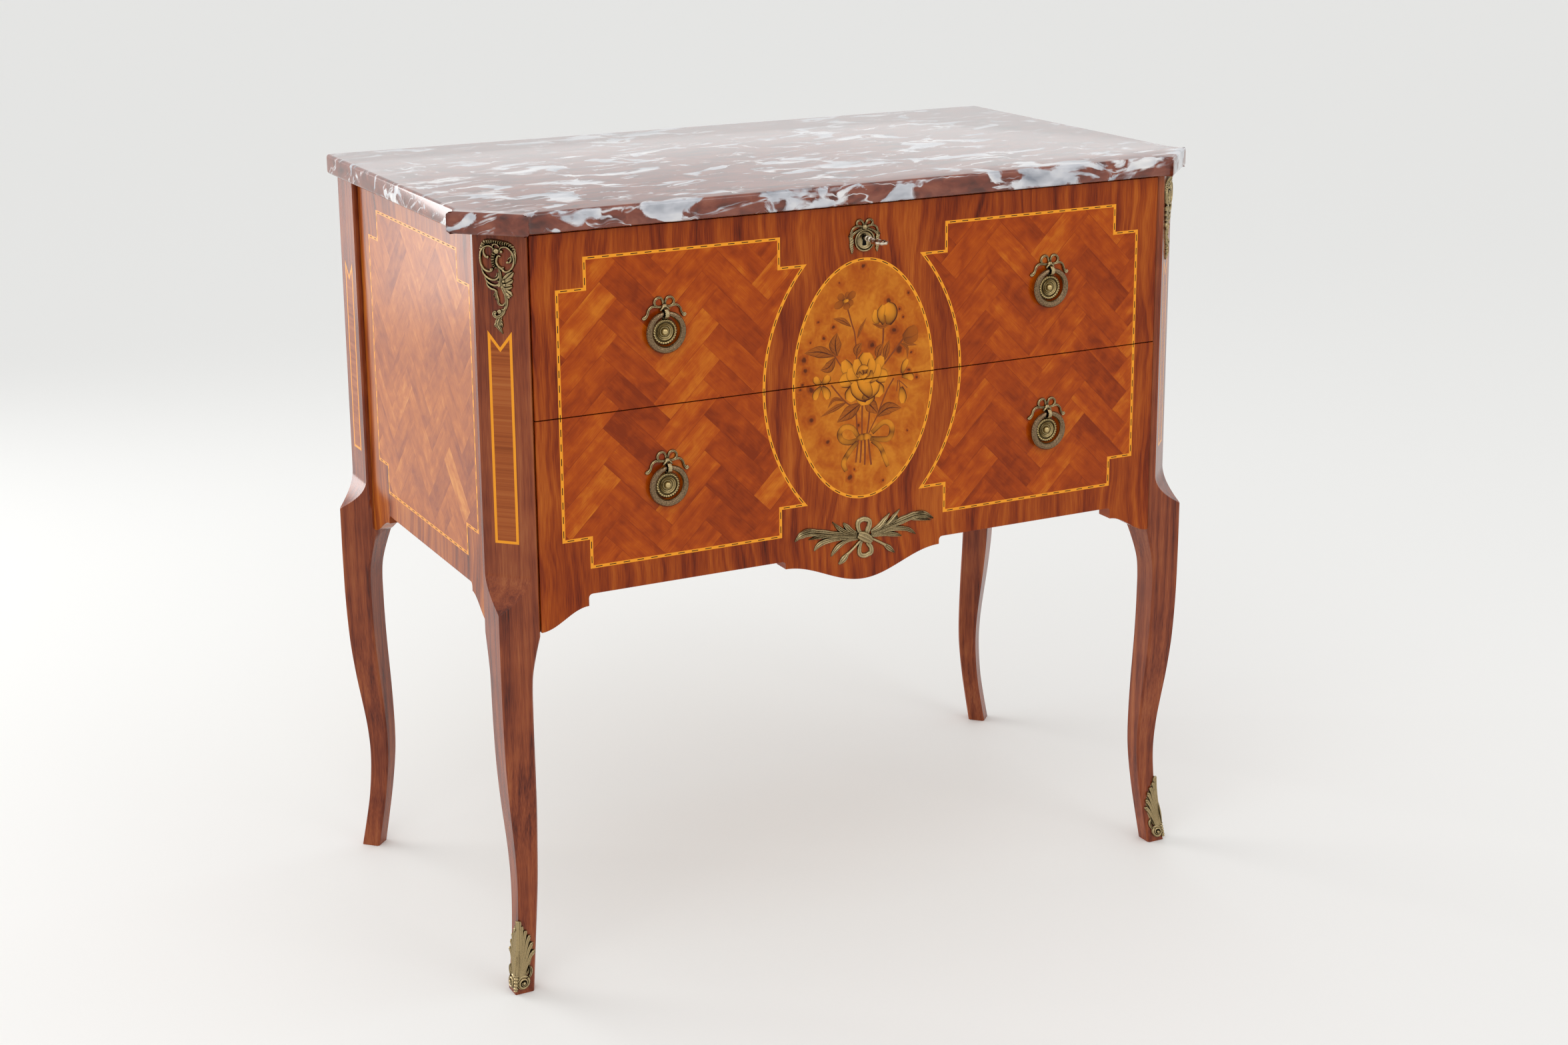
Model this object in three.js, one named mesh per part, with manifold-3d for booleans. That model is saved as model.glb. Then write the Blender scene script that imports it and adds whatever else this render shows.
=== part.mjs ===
// A two-drawer commode chest: veneered case, marble top, canted corner posts that run down
// into cabriole legs, and cast brass mounts. Millimetres, +Z up, the front faces -Y.
// Every piece is a closed solid of its own, made where it sits in the finished chest.

import * as THREE from 'three';
import { mergeVertices } from 'three/addons/utils/BufferGeometryUtils.js';
import Module from 'manifold-3d';

const wasm = await Module();
wasm.setup();

// Case, over the flat side faces of the front posts and from the drawer fronts to the back
const caseWidth = 850;
const caseDepth = 483;
const legTop = 398;
const undersideRise = 37.5;
const lowerFrontHeight = 190.9;
const upperFrontHeight = 189.4;
const drawerGap = 1.2;

// Corner posts: square sticks with a canted corner that ends in a lamb's tongue
const postSize = 45;
const cantDepth = 37;
const tongueRise = 29.5;
const tongueHeight = 38.5;
const arrisEase = 1;
const backCantProud = 2.3;
const returnDepth = 4.1;
const returnTaper = 30;
const returnRise = 7;

// Legs: height, set-in of the outer arris and thickness of the square, from the floor up
const legShares = [
  [0, 0.1, 0.489],
  [0.136, 0.267, 0.471],
  [0.226, 0.329, 0.489],
  [0.307, 0.342, 0.522],
  [0.402, 0.289, 0.578],
  [0.528, 0.162, 0.676],
  [0.653, 0.064, 0.733],
  [0.804, 0.013, 0.76],
  [0.892, 0.004, 0.787],
  [0.955, 0, 0.896],
  [1, 0, 1],
];
const legSteps = 20;
const tongueSteps = 8;

// Marble top with an ear over each canted corner
const marbleThickness = 22.5;
const marbleSideOverhang = 12;
const marbleFrontOverhang = 6.5;
const marbleBackOverhang = 4.7;
const marbleCantOverhang = 11.8;
const earProud = 12;
const earReturn = 17;
const earSteps = 4;
const marbleCornerRadius = 5;
const marbleArris = 3;
const arrisSteps = 2;

// Side and back panels
const panelSetBack = 4;
const panelThickness = 16;
const backPanelThickness = 8;
const backPanelRecess = 21;
const bracketLength = 44;
const sideBracketFootRise = 7;
const sideBracketTopRise = 30;
const sideUndersideRise = 39.5;

// Rails, runners, kickers and the dust board
const railThickness = 16;
const railSetBack = 2;
const frontRailDepth = 60;
const backRailDepth = 24.7;
const topRailThickness = 21.7;
const bottomRailRise = 5.5;
const runnerWidth = 35;
const guideHeight = 25;
const dustBoardThickness = 6;
const dustBoardTongue = 6;
const kickerClearance = 1.5;
const stopThickness = 6;
const stopWidth = 17;
const stopHeight = 12;

// Drawers
const drawerClearance = 1;
const runClearance = 0.5;
const frontThickness = 22;
const drawerSideHeight = 154;
const drawerSideThickness = 12;
const drawerBottomThickness = 6;
const drawerBottomLift = 8;
const grooveDepth = 6;
const tailLength = 12;
const tailCount = 4;
const tailRootShare = 0.42;
const tailTipShare = 0.62;

// Lower edge of the lower drawer front
const frontBracketLength = 53.5;
const frontBracketFootRise = 4;
const frontBracketTopRise = 24.7;
const apronHalfWidth = 96;
const apronTopRise = 28.7;
const apronBottomRise = 3.6;
const ogeeReachShare = 0.36;
const edgeFillet = 4;
const curveSteps = 7;
const filletSteps = 3;

// Ring pulls: a rosette with a ribbon bow, and a ring hung from an eye
const pullSpread = 469;
const upperPullDrop = 112;
const lowerPullDrop = 85;
const rosetteRadius = 13.8;
const rosetteProud = 10.5;
const ringRadius = 19.7;
const ringTube = 2.8;
const eyeClearance = 0.6;
const eyeWall = 1.9;
const eyeWidth = 4.4;
const ringGap = 0.5;
const bowThickness = 2;
const bowWidth = 43;
const studRadius = 2.2;
const studOverhang = 6;
const nutRadius = 5;
const nutThickness = 4;
const nutSides = 6;

// Keyhole plate, key and lock of the upper drawer
const escutcheonDrop = 38;
const escutcheonRadius = 12.2;
const escutcheonThickness = 3;
const escutcheonWidth = 34;
const keyholeRise = 3;
const keyholeRadius = 3.1;
const keyholeSlot = 4.4;
const keyholeLength = 11;
const keyReach = 49;
const keyShankRadius = 2.4;
const keyCollarRadius = 4;
const keyCollarReach = 9;
const keyCollarThickness = 2.4;
const keyBowLength = 27;
const keyBowWidth = 21;
const keyBowThickness = 3.2;
const keyHoleWidthShare = 0.5;
const keyHoleLengthShare = 0.59;
const bitReach = 7.5;
const bitWidth = 5;
const bitThickness = 2;
const bitClearance = 0.6;
const lockWidth = 64;
const lockHeight = 45;
const lockThickness = 11.7;
const lockWall = 2;
const lockClearance = 1;
const boltWidth = 16;
const boltThrow = 9;

// Cast mounts on the posts, the feet and the apron
const cornerMountHeight = 96;
const cornerMountDrop = 100;
const cornerMountThickness = 3;
const apronMountWidth = 174;
const apronMountRise = 52;
const apronMountThickness = 3;
const sabotHeight = 77;
const sabotLift = 3;
const sabotThickness = 2.2;
const voluteRadius = 7;
const voluteRise = 10;
const voluteReach = 7.8;
const voluteThickness = 4;

// Gap between pieces that touch, how far a cutter runs past what it cuts, and facet counts
const seatGap = 0.3;
const overrun = 5;
const weldDistance = 0.0001;
const roundSegments = 20;
const curveDivisions = 7;
const stripSteps = 5;
const tubeSegments = 8;

// Heights worked out from the sizes above
const halfWidth = caseWidth / 2;
const underside = legTop + undersideRise;
const lowerFrontTop = underside + lowerFrontHeight;
const upperFrontBottom = lowerFrontTop + drawerGap;
const upperFrontTop = upperFrontBottom + upperFrontHeight;
const caseHeight = upperFrontTop + drawerGap;
const middleHeight = (lowerFrontTop + upperFrontBottom) / 2;
const middleRailBottom = middleHeight - railThickness / 2;
const bottomRailBottom = underside + bottomRailRise;
const topRailBottom = caseHeight - topRailThickness;

// Places across the width
const postInner = halfWidth - postSize;
const drawerHalf = postInner - drawerClearance;
const panelOuter = halfWidth - panelSetBack;
const panelInner = panelOuter - panelThickness;
const guideOuter = panelInner - seatGap;
const runnerInner = postInner - runnerWidth;

// The back posts are the same sticks turned an eighth, with the cant facing sideways
const halfDiagonal = postSize * Math.SQRT1_2;
const backTipX = halfWidth + backCantProud + cantDepth * Math.SQRT1_2;
const backCentreX = backTipX - halfDiagonal;
const backCentreY = caseDepth - halfDiagonal;
const backCornerY = backCentreY - halfDiagonal;
const returnY = backCornerY + returnDepth;
const returnKneeX = backCentreX - returnDepth;

// Places from front to back
const railFront = frontThickness + railSetBack;
const railBack = railFront + frontRailDepth;
const backPanelFront = caseDepth - backPanelRecess;
const backRailBack = backPanelFront - seatGap;
const backRailFront = backRailBack - backRailDepth;
const slantGap = seatGap * Math.SQRT2;
const postFaceAtGuide = backCornerY + backCentreX - guideOuter;
const runnerBack = Math.min(postFaceAtGuide - slantGap, backRailFront - seatGap);
const drawerBack = runnerBack - stopThickness - seatGap;
const marbleBack = caseDepth + marbleBackOverhang;

// Finishes
const veneer = { color: 0x7c3f22, roughness: 0.3, metalness: 0 };
const innerWood = { color: 0xb98a5a, roughness: 0.7, metalness: 0 };
const marble = { color: 0x8e5348, roughness: 0.15, metalness: 0 };
const brass = { color: 0x8d7a4a, roughness: 0.4, metalness: 1 };
const steel = { color: 0x8a8c8e, roughness: 0.4, metalness: 1 };

// Solids: a geometry is welded to bare corners before it is cut or joined

function welded(geometry) {
  const bare = geometry.clone();
  bare.deleteAttribute('normal');
  bare.deleteAttribute('uv');
  const merged = mergeVertices(bare, weldDistance);
  const corners = merged.index.array;
  const kept = [];
  for (let i = 0; i < corners.length; i += 3) {
    const [a, b, c] = corners.slice(i, i + 3);
    if (a !== b && b !== c && c !== a) kept.push(a, b, c);
  }
  merged.setIndex(kept);
  return merged;
}

function toSolid(geometry) {
  const bare = welded(geometry);
  const mesh = new wasm.Mesh({
    numProp: 3,
    vertProperties: new Float32Array(bare.attributes.position.array),
    triVerts: new Uint32Array(bare.index.array),
  });
  return new wasm.Manifold(mesh);
}

function fromSolid(solid) {
  const mesh = solid.getMesh();
  const geometry = new THREE.BufferGeometry();
  geometry.setAttribute('position', new THREE.BufferAttribute(mesh.vertProperties, 3));
  geometry.setIndex(new THREE.BufferAttribute(mesh.triVerts, 1));
  return geometry;
}

function join(...parts) {
  return fromSolid(parts.map(toSolid).reduce((whole, part) => whole.add(part)));
}

function cut(base, ...tools) {
  return fromSolid(tools.map(toSolid).reduce((left, tool) => left.subtract(tool), toSolid(base)));
}

// The same piece on the other side of the chest, with its faces turned out again
function mirrored(geometry) {
  const copy = welded(geometry).scale(-1, 1, 1);
  const corners = copy.index.array;
  for (let i = 0; i < corners.length; i += 3) {
    const first = corners[i];
    corners[i] = corners[i + 1];
    corners[i + 1] = first;
  }
  return copy;
}

function box(x0, x1, y0, y1, z0, z1) {
  const geometry = new THREE.BoxGeometry(x1 - x0, y1 - y0, z1 - z0);
  return geometry.translate((x0 + x1) / 2, (y0 + y1) / 2, (z0 + z1) / 2);
}

function shapeOf(points) {
  return new THREE.Shape(points.map(([x, y]) => new THREE.Vector2(x, y)));
}

function extruded(shape, depth) {
  return new THREE.ExtrudeGeometry(shape, { depth, bevelEnabled: false, curveSegments: curveDivisions });
}

// Prisms whose outline is drawn in (Y, Z), (X, Z) or (X, Y)

function prismAlongX(shape, x0, x1) {
  const turn = new THREE.Matrix4().makeBasis(
    new THREE.Vector3(0, 1, 0),
    new THREE.Vector3(0, 0, 1),
    new THREE.Vector3(1, 0, 0),
  );
  return extruded(shape, x1 - x0).applyMatrix4(turn).translate(x0, 0, 0);
}

function prismAlongY(shape, y0, y1) {
  return extruded(shape, y1 - y0).rotateX(Math.PI / 2).translate(0, y1, 0);
}

function prismAlongZ(shape, z0, z1) {
  return extruded(shape, z1 - z0).translate(0, 0, z0);
}

// Turned form whose axis points out of the front; the profile holds radius and reach
function turnedForm(profile, segments) {
  const points = profile.map(([radius, reach]) => new THREE.Vector2(radius, reach));
  return new THREE.LatheGeometry(points, segments).rotateX(Math.PI);
}

// Skin over level rings of corners, counter-clockwise from above, from the lowest up
function loft(rings) {
  const count = rings[0].length;
  const positions = rings.flat().flatMap((corner) => [corner.x, corner.y, corner.z]);
  const faces = [];
  for (let level = 0; level + 1 < rings.length; level += 1) {
    for (let i = 0; i < count; i += 1) {
      const a = level * count + i;
      const b = level * count + ((i + 1) % count);
      faces.push(a, b, b + count, a, b + count, a + count);
    }
  }
  const planOf = (ring) => ring.map((corner) => new THREE.Vector2(corner.x, corner.y));
  const capOf = (ring) => THREE.ShapeUtils.triangulateShape(planOf(ring), []);
  const last = (rings.length - 1) * count;
  capOf(rings[0]).forEach(([a, b, c]) => faces.push(c, b, a));
  capOf(rings[rings.length - 1]).forEach(([a, b, c]) => {
    faces.push(a + last, b + last, c + last);
  });
  const geometry = new THREE.BufferGeometry();
  geometry.setAttribute('position', new THREE.Float32BufferAttribute(positions, 3));
  geometry.setIndex(faces);
  return geometry;
}

// The object: one group, whose zero is the middle of the space that it fills on the floor

const chest = new THREE.Group();
chest.position.y = (keyReach - marbleBack) / 2;

function addPiece(name, geometry, finish) {
  const solid = welded(geometry);
  solid.computeVertexNormals();
  const mesh = new THREE.Mesh(solid, new THREE.MeshStandardMaterial(finish));
  mesh.name = name;
  chest.add(mesh);
}

function addPair(stem, left, right, geometry, finish) {
  addPiece(stem.replace('*', right), geometry, finish);
  addPiece(stem.replace('*', left), mirrored(geometry), finish);
}

// Posts and legs. The stick's outer corner stands at zero and its body lies towards -X and +Y.

const legCurve = new THREE.CatmullRomCurve3(legShares.map(([height, setIn, size]) => (
  new THREE.Vector3(setIn * postSize, size * postSize, height * legTop)
)));
const legLevels = legCurve.getPoints(legSteps);

function stickRing(height, setIn, size, cant) {
  const corners = [
    [-setIn - cant, setIn],
    [-setIn, setIn + cant],
    [-setIn, setIn + size],
    [-setIn - size, setIn + size],
    [-setIn - size, setIn],
  ];
  return corners.map(([x, y]) => new THREE.Vector3(x, y, height));
}

// The cant swells out to the full corner along a parabola, which is the lamb's tongue
function tongueRings() {
  const rings = [];
  for (let i = 1; i <= tongueSteps; i += 1) {
    const rise = i / tongueSteps;
    const cant = Math.max(arrisEase, cantDepth * rise * (2 - rise));
    rings.push(stickRing(legTop + tongueRise + tongueHeight * rise, 0, postSize, cant));
  }
  return rings;
}

function postStick() {
  const leg = legLevels.map((level) => stickRing(level.z, level.x, level.y, arrisEase));
  const tongueFoot = stickRing(legTop + tongueRise, 0, postSize, arrisEase);
  const head = stickRing(caseHeight, 0, postSize, cantDepth);
  return loft([...leg, tongueFoot, ...tongueRings(), head]);
}

function frontPost() {
  return postStick().translate(halfWidth, 0, 0);
}

// A flat return is cut on the forward corner for the side panel, and dies out in the leg
function backPost() {
  const stick = postStick().rotateZ(Math.PI / 4).translate(backTipX, backCentreY, 0);
  const returnTop = legTop + returnRise;
  const wedge = shapeOf([
    [backCornerY, returnTop - returnTaper],
    [returnY, returnTop],
    [returnY, caseHeight + overrun],
    [backCornerY - overrun, caseHeight + overrun],
    [backCornerY - overrun, returnTop - returnTaper],
  ]);
  return cut(stick, prismAlongX(wedge, backCentreX - postSize, backTipX + overrun));
}

addPair('front_*_post', 'left', 'right', frontPost(), veneer);
addPair('back_*_post', 'left', 'right', backPost(), veneer);

// Lower edges: an ogee from one height to another, flat at both ends

function ogee(from, to) {
  const reach = (to[0] - from[0]) * ogeeReachShare;
  const curve = new THREE.CubicBezierCurve(
    new THREE.Vector2(from[0], from[1]),
    new THREE.Vector2(from[0] + reach, from[1]),
    new THREE.Vector2(to[0] - reach, to[1]),
    new THREE.Vector2(to[0], to[1]),
  );
  return curve.getPoints(curveSteps).map((p) => [p.x, p.y]);
}

// Quarter round at the top of a step that stands at one place and opens towards a side
function stepFillet(at, height, side) {
  const points = [];
  for (let i = 0; i <= filletSteps; i += 1) {
    const angle = (Math.PI / 2) * (i / filletSteps);
    points.push([
      at + side * edgeFillet * (1 - Math.cos(angle)),
      height - edgeFillet * (1 - Math.sin(angle)),
    ]);
  }
  return points;
}

// Side panel: straight below with a bracket at each leg, bevelled where it meets the back post
function sidePanel() {
  const front = postSize + seatGap;
  const back = returnY - seatGap;
  const foot = legTop + sideBracketFootRise;
  const bracketTop = legTop + sideBracketTopRise;
  const edge = legTop + sideUndersideRise;
  const rearStep = back - bracketLength - panelThickness;
  const outline = shapeOf([
    ...ogee([front, foot], [front + bracketLength, bracketTop]),
    ...stepFillet(front + bracketLength, edge, 1),
    ...stepFillet(rearStep, edge, -1).reverse(),
    ...ogee([rearStep, bracketTop], [back, foot]),
    [back + panelThickness, foot],
    [back + panelThickness, caseHeight],
    [front, caseHeight],
  ]);
  const bevel = shapeOf([
    [panelOuter + overrun, back],
    [returnKneeX, back],
    [panelInner - overrun, back + returnKneeX - panelInner + overrun],
    [panelInner - overrun, back + postSize],
    [panelOuter + overrun, back + postSize],
  ]);
  return cut(
    prismAlongX(outline, panelInner, panelOuter),
    prismAlongZ(bevel, 0, caseHeight + overrun),
  );
}

addPair('*_side_panel', 'left', 'right', sidePanel(), veneer);

// Back panel between the slanted inner faces of the back posts
function backPanel() {
  const edgeAt = (y) => backCentreX - halfDiagonal + Math.abs(y - backCentreY) - slantGap;
  const back = backPanelFront + backPanelThickness;
  const plan = shapeOf([
    [-edgeAt(backPanelFront), backPanelFront],
    [edgeAt(backPanelFront), backPanelFront],
    [edgeAt(back), back],
    [-edgeAt(back), back],
  ]);
  return prismAlongZ(plan, legTop + sideUndersideRise, caseHeight);
}

addPiece('back_panel', backPanel(), innerWood);

// Rails across the case, with a groove for the dust board in the middle pair

const frontRailHalf = postInner - seatGap;
const backRailHalf = backCentreX - halfDiagonal - seatGap;
const dustGrooveHalf = dustBoardThickness / 2 + seatGap;

function rail(half, y0, y1, bottom, top) {
  return box(-half, half, y0, y1, bottom, top);
}

function groovedRail(half, y0, y1, bottom) {
  const whole = rail(half, y0, y1, bottom, bottom + railThickness);
  const inward = y0 < backRailFront ? y1 : y0;
  const groove = rail(
    half + overrun,
    inward - dustBoardTongue,
    inward + dustBoardTongue,
    middleHeight - dustGrooveHalf,
    middleHeight + dustGrooveHalf,
  );
  return cut(whole, groove);
}

// The lock's bolt shoots into a mortise in the underside of the top rail
function lockRail() {
  const mortise = box(
    -boltWidth / 2 - lockClearance,
    boltWidth / 2 + lockClearance,
    railFront - overrun,
    frontThickness + lockThickness,
    topRailBottom - overrun,
    topRailBottom + boltThrow,
  );
  return cut(rail(frontRailHalf, railFront, railBack, topRailBottom, caseHeight), mortise);
}

const bottomRailTop = bottomRailBottom + railThickness;
addPiece('top_front_rail', lockRail(), innerWood);
addPiece('middle_front_rail', groovedRail(frontRailHalf, railFront, railBack, middleRailBottom), innerWood);
addPiece(
  'bottom_front_rail',
  rail(frontRailHalf, railFront, railBack, bottomRailBottom, bottomRailTop),
  innerWood,
);
addPiece(
  'top_back_rail',
  rail(backRailHalf, backRailFront, backRailBack, topRailBottom, caseHeight),
  innerWood,
);
addPiece(
  'middle_back_rail',
  groovedRail(backRailHalf, backRailFront, backRailBack, middleRailBottom),
  innerWood,
);
addPiece(
  'bottom_back_rail',
  rail(backRailHalf, backRailFront, backRailBack, bottomRailBottom, bottomRailTop),
  innerWood,
);

// Runners: a ledge under the drawer side and a guide that fills out to the side panel

const runnerFront = railBack + seatGap;

function runner(bottom, grooved) {
  const top = bottom + railThickness;
  const middle = (bottom + top) / 2;
  const groove = [
    [runnerInner, middle + dustGrooveHalf],
    [runnerInner + dustBoardTongue, middle + dustGrooveHalf],
    [runnerInner + dustBoardTongue, middle - dustGrooveHalf],
    [runnerInner, middle - dustGrooveHalf],
  ];
  const section = shapeOf([
    [runnerInner, bottom],
    [guideOuter, bottom],
    [guideOuter, top + guideHeight],
    [postInner, top + guideHeight],
    [postInner, top],
    [runnerInner, top],
    ...(grooved ? groove : []),
  ]);
  return prismAlongY(section, runnerFront, runnerBack);
}

addPair('upper_*_runner', 'left', 'right', runner(middleRailBottom, true), innerWood);
addPair('lower_*_runner', 'left', 'right', runner(bottomRailBottom, false), innerWood);

// Kickers over the upper drawer's sides keep it from tipping when it is pulled out

const upperSideBottom = middleRailBottom + railThickness + runClearance;
const lowerSideBottom = bottomRailTop + runClearance;
const kickerBottom = upperSideBottom + drawerSideHeight + kickerClearance;
addPair(
  '*_kicker',
  'left',
  'right',
  box(runnerInner, guideOuter, runnerFront, runnerBack, kickerBottom, caseHeight),
  innerWood,
);

// Dust board in the grooves of the middle rails and the upper runners
const dustHalf = runnerInner + dustBoardTongue - seatGap;
const dustReach = dustBoardTongue - seatGap;
addPiece(
  'dust_board',
  box(
    -dustHalf,
    dustHalf,
    railBack - dustReach,
    backRailFront + dustReach,
    middleHeight - dustBoardThickness / 2,
    middleHeight + dustBoardThickness / 2,
  ),
  innerWood,
);

// Stops stand on the runners behind the drawer sides
function drawerStop(runnerTop) {
  const back = runnerBack;
  const bottom = runnerTop + seatGap;
  return box(drawerHalf - stopWidth, drawerHalf, back - stopThickness, back, bottom, bottom + stopHeight);
}

addPair('upper_*_stop', 'left', 'right', drawerStop(middleRailBottom + railThickness), innerWood);
addPair('lower_*_stop', 'left', 'right', drawerStop(bottomRailTop), innerWood);

// Marble: plan outline of the right half, mirrored, then drawn in over rounded arrises

function marbleHalfPlan() {
  const side = halfWidth + marbleSideOverhang;
  const front = -marbleFrontOverhang;
  const cantLine = halfWidth - cantDepth + marbleCantOverhang * Math.SQRT2;
  const earSide = new THREE.Vector2(side + earProud, side + earProud - cantLine);
  const earFront = new THREE.Vector2(cantLine + front - earProud, front - earProud);
  const frontReturn = new THREE.QuadraticBezierCurve(
    new THREE.Vector2(earFront.x - earReturn, front),
    new THREE.Vector2(earFront.x, front),
    earFront,
  );
  const sideReturn = new THREE.QuadraticBezierCurve(
    earSide,
    new THREE.Vector2(side, earSide.y),
    new THREE.Vector2(side, earSide.y + earReturn),
  );
  const corner = [];
  for (let i = 0; i <= earSteps; i += 1) {
    const angle = (Math.PI / 2) * (i / earSteps);
    corner.push(new THREE.Vector2(
      side - marbleCornerRadius * (1 - Math.cos(angle)),
      marbleBack - marbleCornerRadius * (1 - Math.sin(angle)),
    ));
  }
  return [...frontReturn.getPoints(earSteps), ...sideReturn.getPoints(earSteps), ...corner];
}

// Every corner moved in by the same distance, along the bisector of its two edges
function inset(points, distance) {
  return points.map((point, i) => {
    const before = points[(i + points.length - 1) % points.length];
    const after = points[(i + 1) % points.length];
    const a = new THREE.Vector2().subVectors(point, before).normalize();
    const b = new THREE.Vector2().subVectors(after, point).normalize();
    const inward = new THREE.Vector2(-a.y - b.y, a.x + b.x).normalize();
    const stretch = inward.dot(new THREE.Vector2(-a.y, a.x));
    return point.clone().addScaledVector(inward, distance / stretch);
  });
}

function marbleTop() {
  const right = marbleHalfPlan();
  const left = right.map((p) => new THREE.Vector2(-p.x, p.y)).reverse();
  const plan = [...right, ...left];
  const bottom = caseHeight + seatGap;
  const ringAt = (height, distance) => inset(plan, distance).map((corner) => (
    new THREE.Vector3(corner.x, corner.y, height)
  ));
  const lower = [];
  const upper = [];
  for (let i = 0; i <= arrisSteps; i += 1) {
    const angle = (Math.PI / 2) * (i / arrisSteps);
    const rise = marbleArris * (1 - Math.cos(angle));
    const draw = marbleArris * (1 - Math.sin(angle));
    lower.push(ringAt(bottom + rise, draw));
    upper.unshift(ringAt(bottom + marbleThickness - rise, draw));
  }
  return loft([...lower, ...upper]);
}

addPiece('marble_top', marbleTop(), marble);

// Flat strips and leaves of the cast mounts, drawn face on with their thickness towards +Z

function ribbon(points, widthAt) {
  const line = new THREE.SplineCurve(points.map(([x, y]) => new THREE.Vector2(x, y)));
  const left = [];
  const right = [];
  for (let i = 0; i <= stripSteps; i += 1) {
    const share = i / stripSteps;
    const at = line.getPoint(share);
    const along = line.getTangent(share);
    const half = widthAt(share) / 2;
    left.push([at.x - along.y * half, at.y + along.x * half]);
    right.unshift([at.x + along.y * half, at.y - along.x * half]);
  }
  return shapeOf([...right, ...left]);
}

// A scroll thins from one end to the other, a leaf swells before its middle
const leafSwellShare = 0.8;
const scrollWidth = (start, end) => (share) => start + (end - start) * share;
const leafWidth = (widest, tip) => (share) => (
  tip + (widest - tip) * Math.sin(Math.PI * share ** leafSwellShare)
);

function onFront(geometry, x, z) {
  return geometry.rotateX(Math.PI / 2).translate(x, -seatGap, z);
}

// Bow of the ring pulls and the keyhole plate, in shares of its width: place and radii of a
// loop, then the line of a tail
const bowLoopShares = [0.135, 0.11, 0.14, 0.12];
const pullTailShares = [[0.04, -0.02], [0.3, 0.02], [0.44, -0.1], [0.47, -0.28]];
const escutcheonTailShares = [[0.05, -0.02], [0.32, -0.05], [0.46, -0.3], [0.4, -0.6], [0.45, -0.95]];
const bowStripShare = 0.075;
const bowKnotShare = 0.07;

function bowLoop(x, y, radiusX, radiusY, strip) {
  const shape = new THREE.Shape();
  shape.absellipse(x, y, radiusX, radiusY, 0, Math.PI * 2);
  const hole = new THREE.Path();
  hole.absellipse(x, y, radiusX - strip, radiusY - strip, 0, Math.PI * 2, true);
  shape.holes.push(hole);
  return shape;
}

function ribbonBow(width, tailShares, thickness) {
  const scaled = (shares) => shares.map(([x, y]) => [x * width, y * width]);
  const strip = bowStripShare * width;
  const [loopX, loopY, radiusX, radiusY] = bowLoopShares.map((share) => share * width);
  const loop = extruded(bowLoop(loopX, loopY, radiusX, radiusY, strip), thickness);
  const tail = extruded(ribbon(scaled(tailShares), scrollWidth(strip, strip)), thickness);
  const knotRadius = bowKnotShare * width;
  const knotDepth = thickness + strip;
  const knot = new THREE.CylinderGeometry(knotRadius, knotRadius, knotDepth, tubeSegments);
  knot.rotateX(Math.PI / 2).translate(0, 0, knotDepth / 2);
  return join(loop, mirrored(loop), tail, mirrored(tail), knot);
}

// Ring pulls

const rosetteShares = [
  [0, 1],
  [0.24, 0.9],
  [0.27, 0.66],
  [0.52, 0.56],
  [0.64, 0.3],
  [0.93, 0.3],
  [1, 0],
];
const ringHeight = bowThickness + ringGap + ringTube;
const eyeBore = ringTube + eyeClearance;
const eyeRadius = eyeBore + eyeWall;
const studLength = frontThickness + seatGap + studOverhang;

function pullPlate(x, z) {
  const turned = rosetteShares.map(([radius, reach]) => [radius * rosetteRadius, reach * rosetteProud]);
  const stud = [
    [studRadius, 0],
    [studRadius, -studLength],
    [0, -studLength],
  ];
  const profile = [...turned, ...stud].reverse();
  const rosette = turnedForm(profile, roundSegments).translate(x, -seatGap, z);
  const bow = onFront(ribbonBow(bowWidth, pullTailShares, bowThickness), x, z + ringRadius + eyeRadius);
  const neck = box(
    x - eyeWidth / 2,
    x + eyeWidth / 2,
    -seatGap - bowThickness,
    -seatGap,
    z + rosetteRadius / 2,
    z + ringRadius + eyeRadius,
  );
  const eye = new THREE.CylinderGeometry(eyeRadius, eyeRadius, eyeWidth, roundSegments / 2);
  const bore = new THREE.CylinderGeometry(eyeBore, eyeBore, eyeWidth + overrun, roundSegments / 2);
  const place = (part) => part.rotateZ(Math.PI / 2).translate(x, -seatGap - ringHeight, z + ringRadius);
  return cut(join(rosette, bow, neck, place(eye)), place(bore));
}

function pullRing(x, z) {
  const ring = new THREE.TorusGeometry(ringRadius, ringTube, tubeSegments, roundSegments);
  return ring.rotateX(Math.PI / 2).translate(x, -seatGap - ringHeight, z);
}

function studNut(x, z) {
  const y = frontThickness + seatGap + nutThickness / 2;
  const nut = new THREE.CylinderGeometry(nutRadius, nutRadius, nutThickness, nutSides);
  const bore = new THREE.CylinderGeometry(
    studRadius + seatGap,
    studRadius + seatGap,
    nutThickness + overrun,
    roundSegments / 2,
  );
  return cut(nut, bore).translate(x, y, z);
}

function studHole(x, z) {
  const radius = studRadius + seatGap;
  const hole = new THREE.CylinderGeometry(radius, radius, frontThickness + overrun, roundSegments / 2);
  return hole.translate(x, frontThickness / 2, z);
}

// Drawer sides carry dovetails: lapped ones at the front, through ones at the back

function tailOutline(shoulder, tip, centre, pitch, spread) {
  const root = (tailRootShare * pitch) / 2 + spread;
  const end = (tailTipShare * pitch) / 2 + spread;
  return [
    [shoulder, centre - root],
    [tip, centre - end],
    [tip, centre + end],
    [shoulder, centre + root],
  ];
}

function tailCentres(bottom, top) {
  const pitch = (top - bottom) / tailCount;
  return Array.from({ length: tailCount }, (_, i) => bottom + pitch * (i + 0.5));
}

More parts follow.
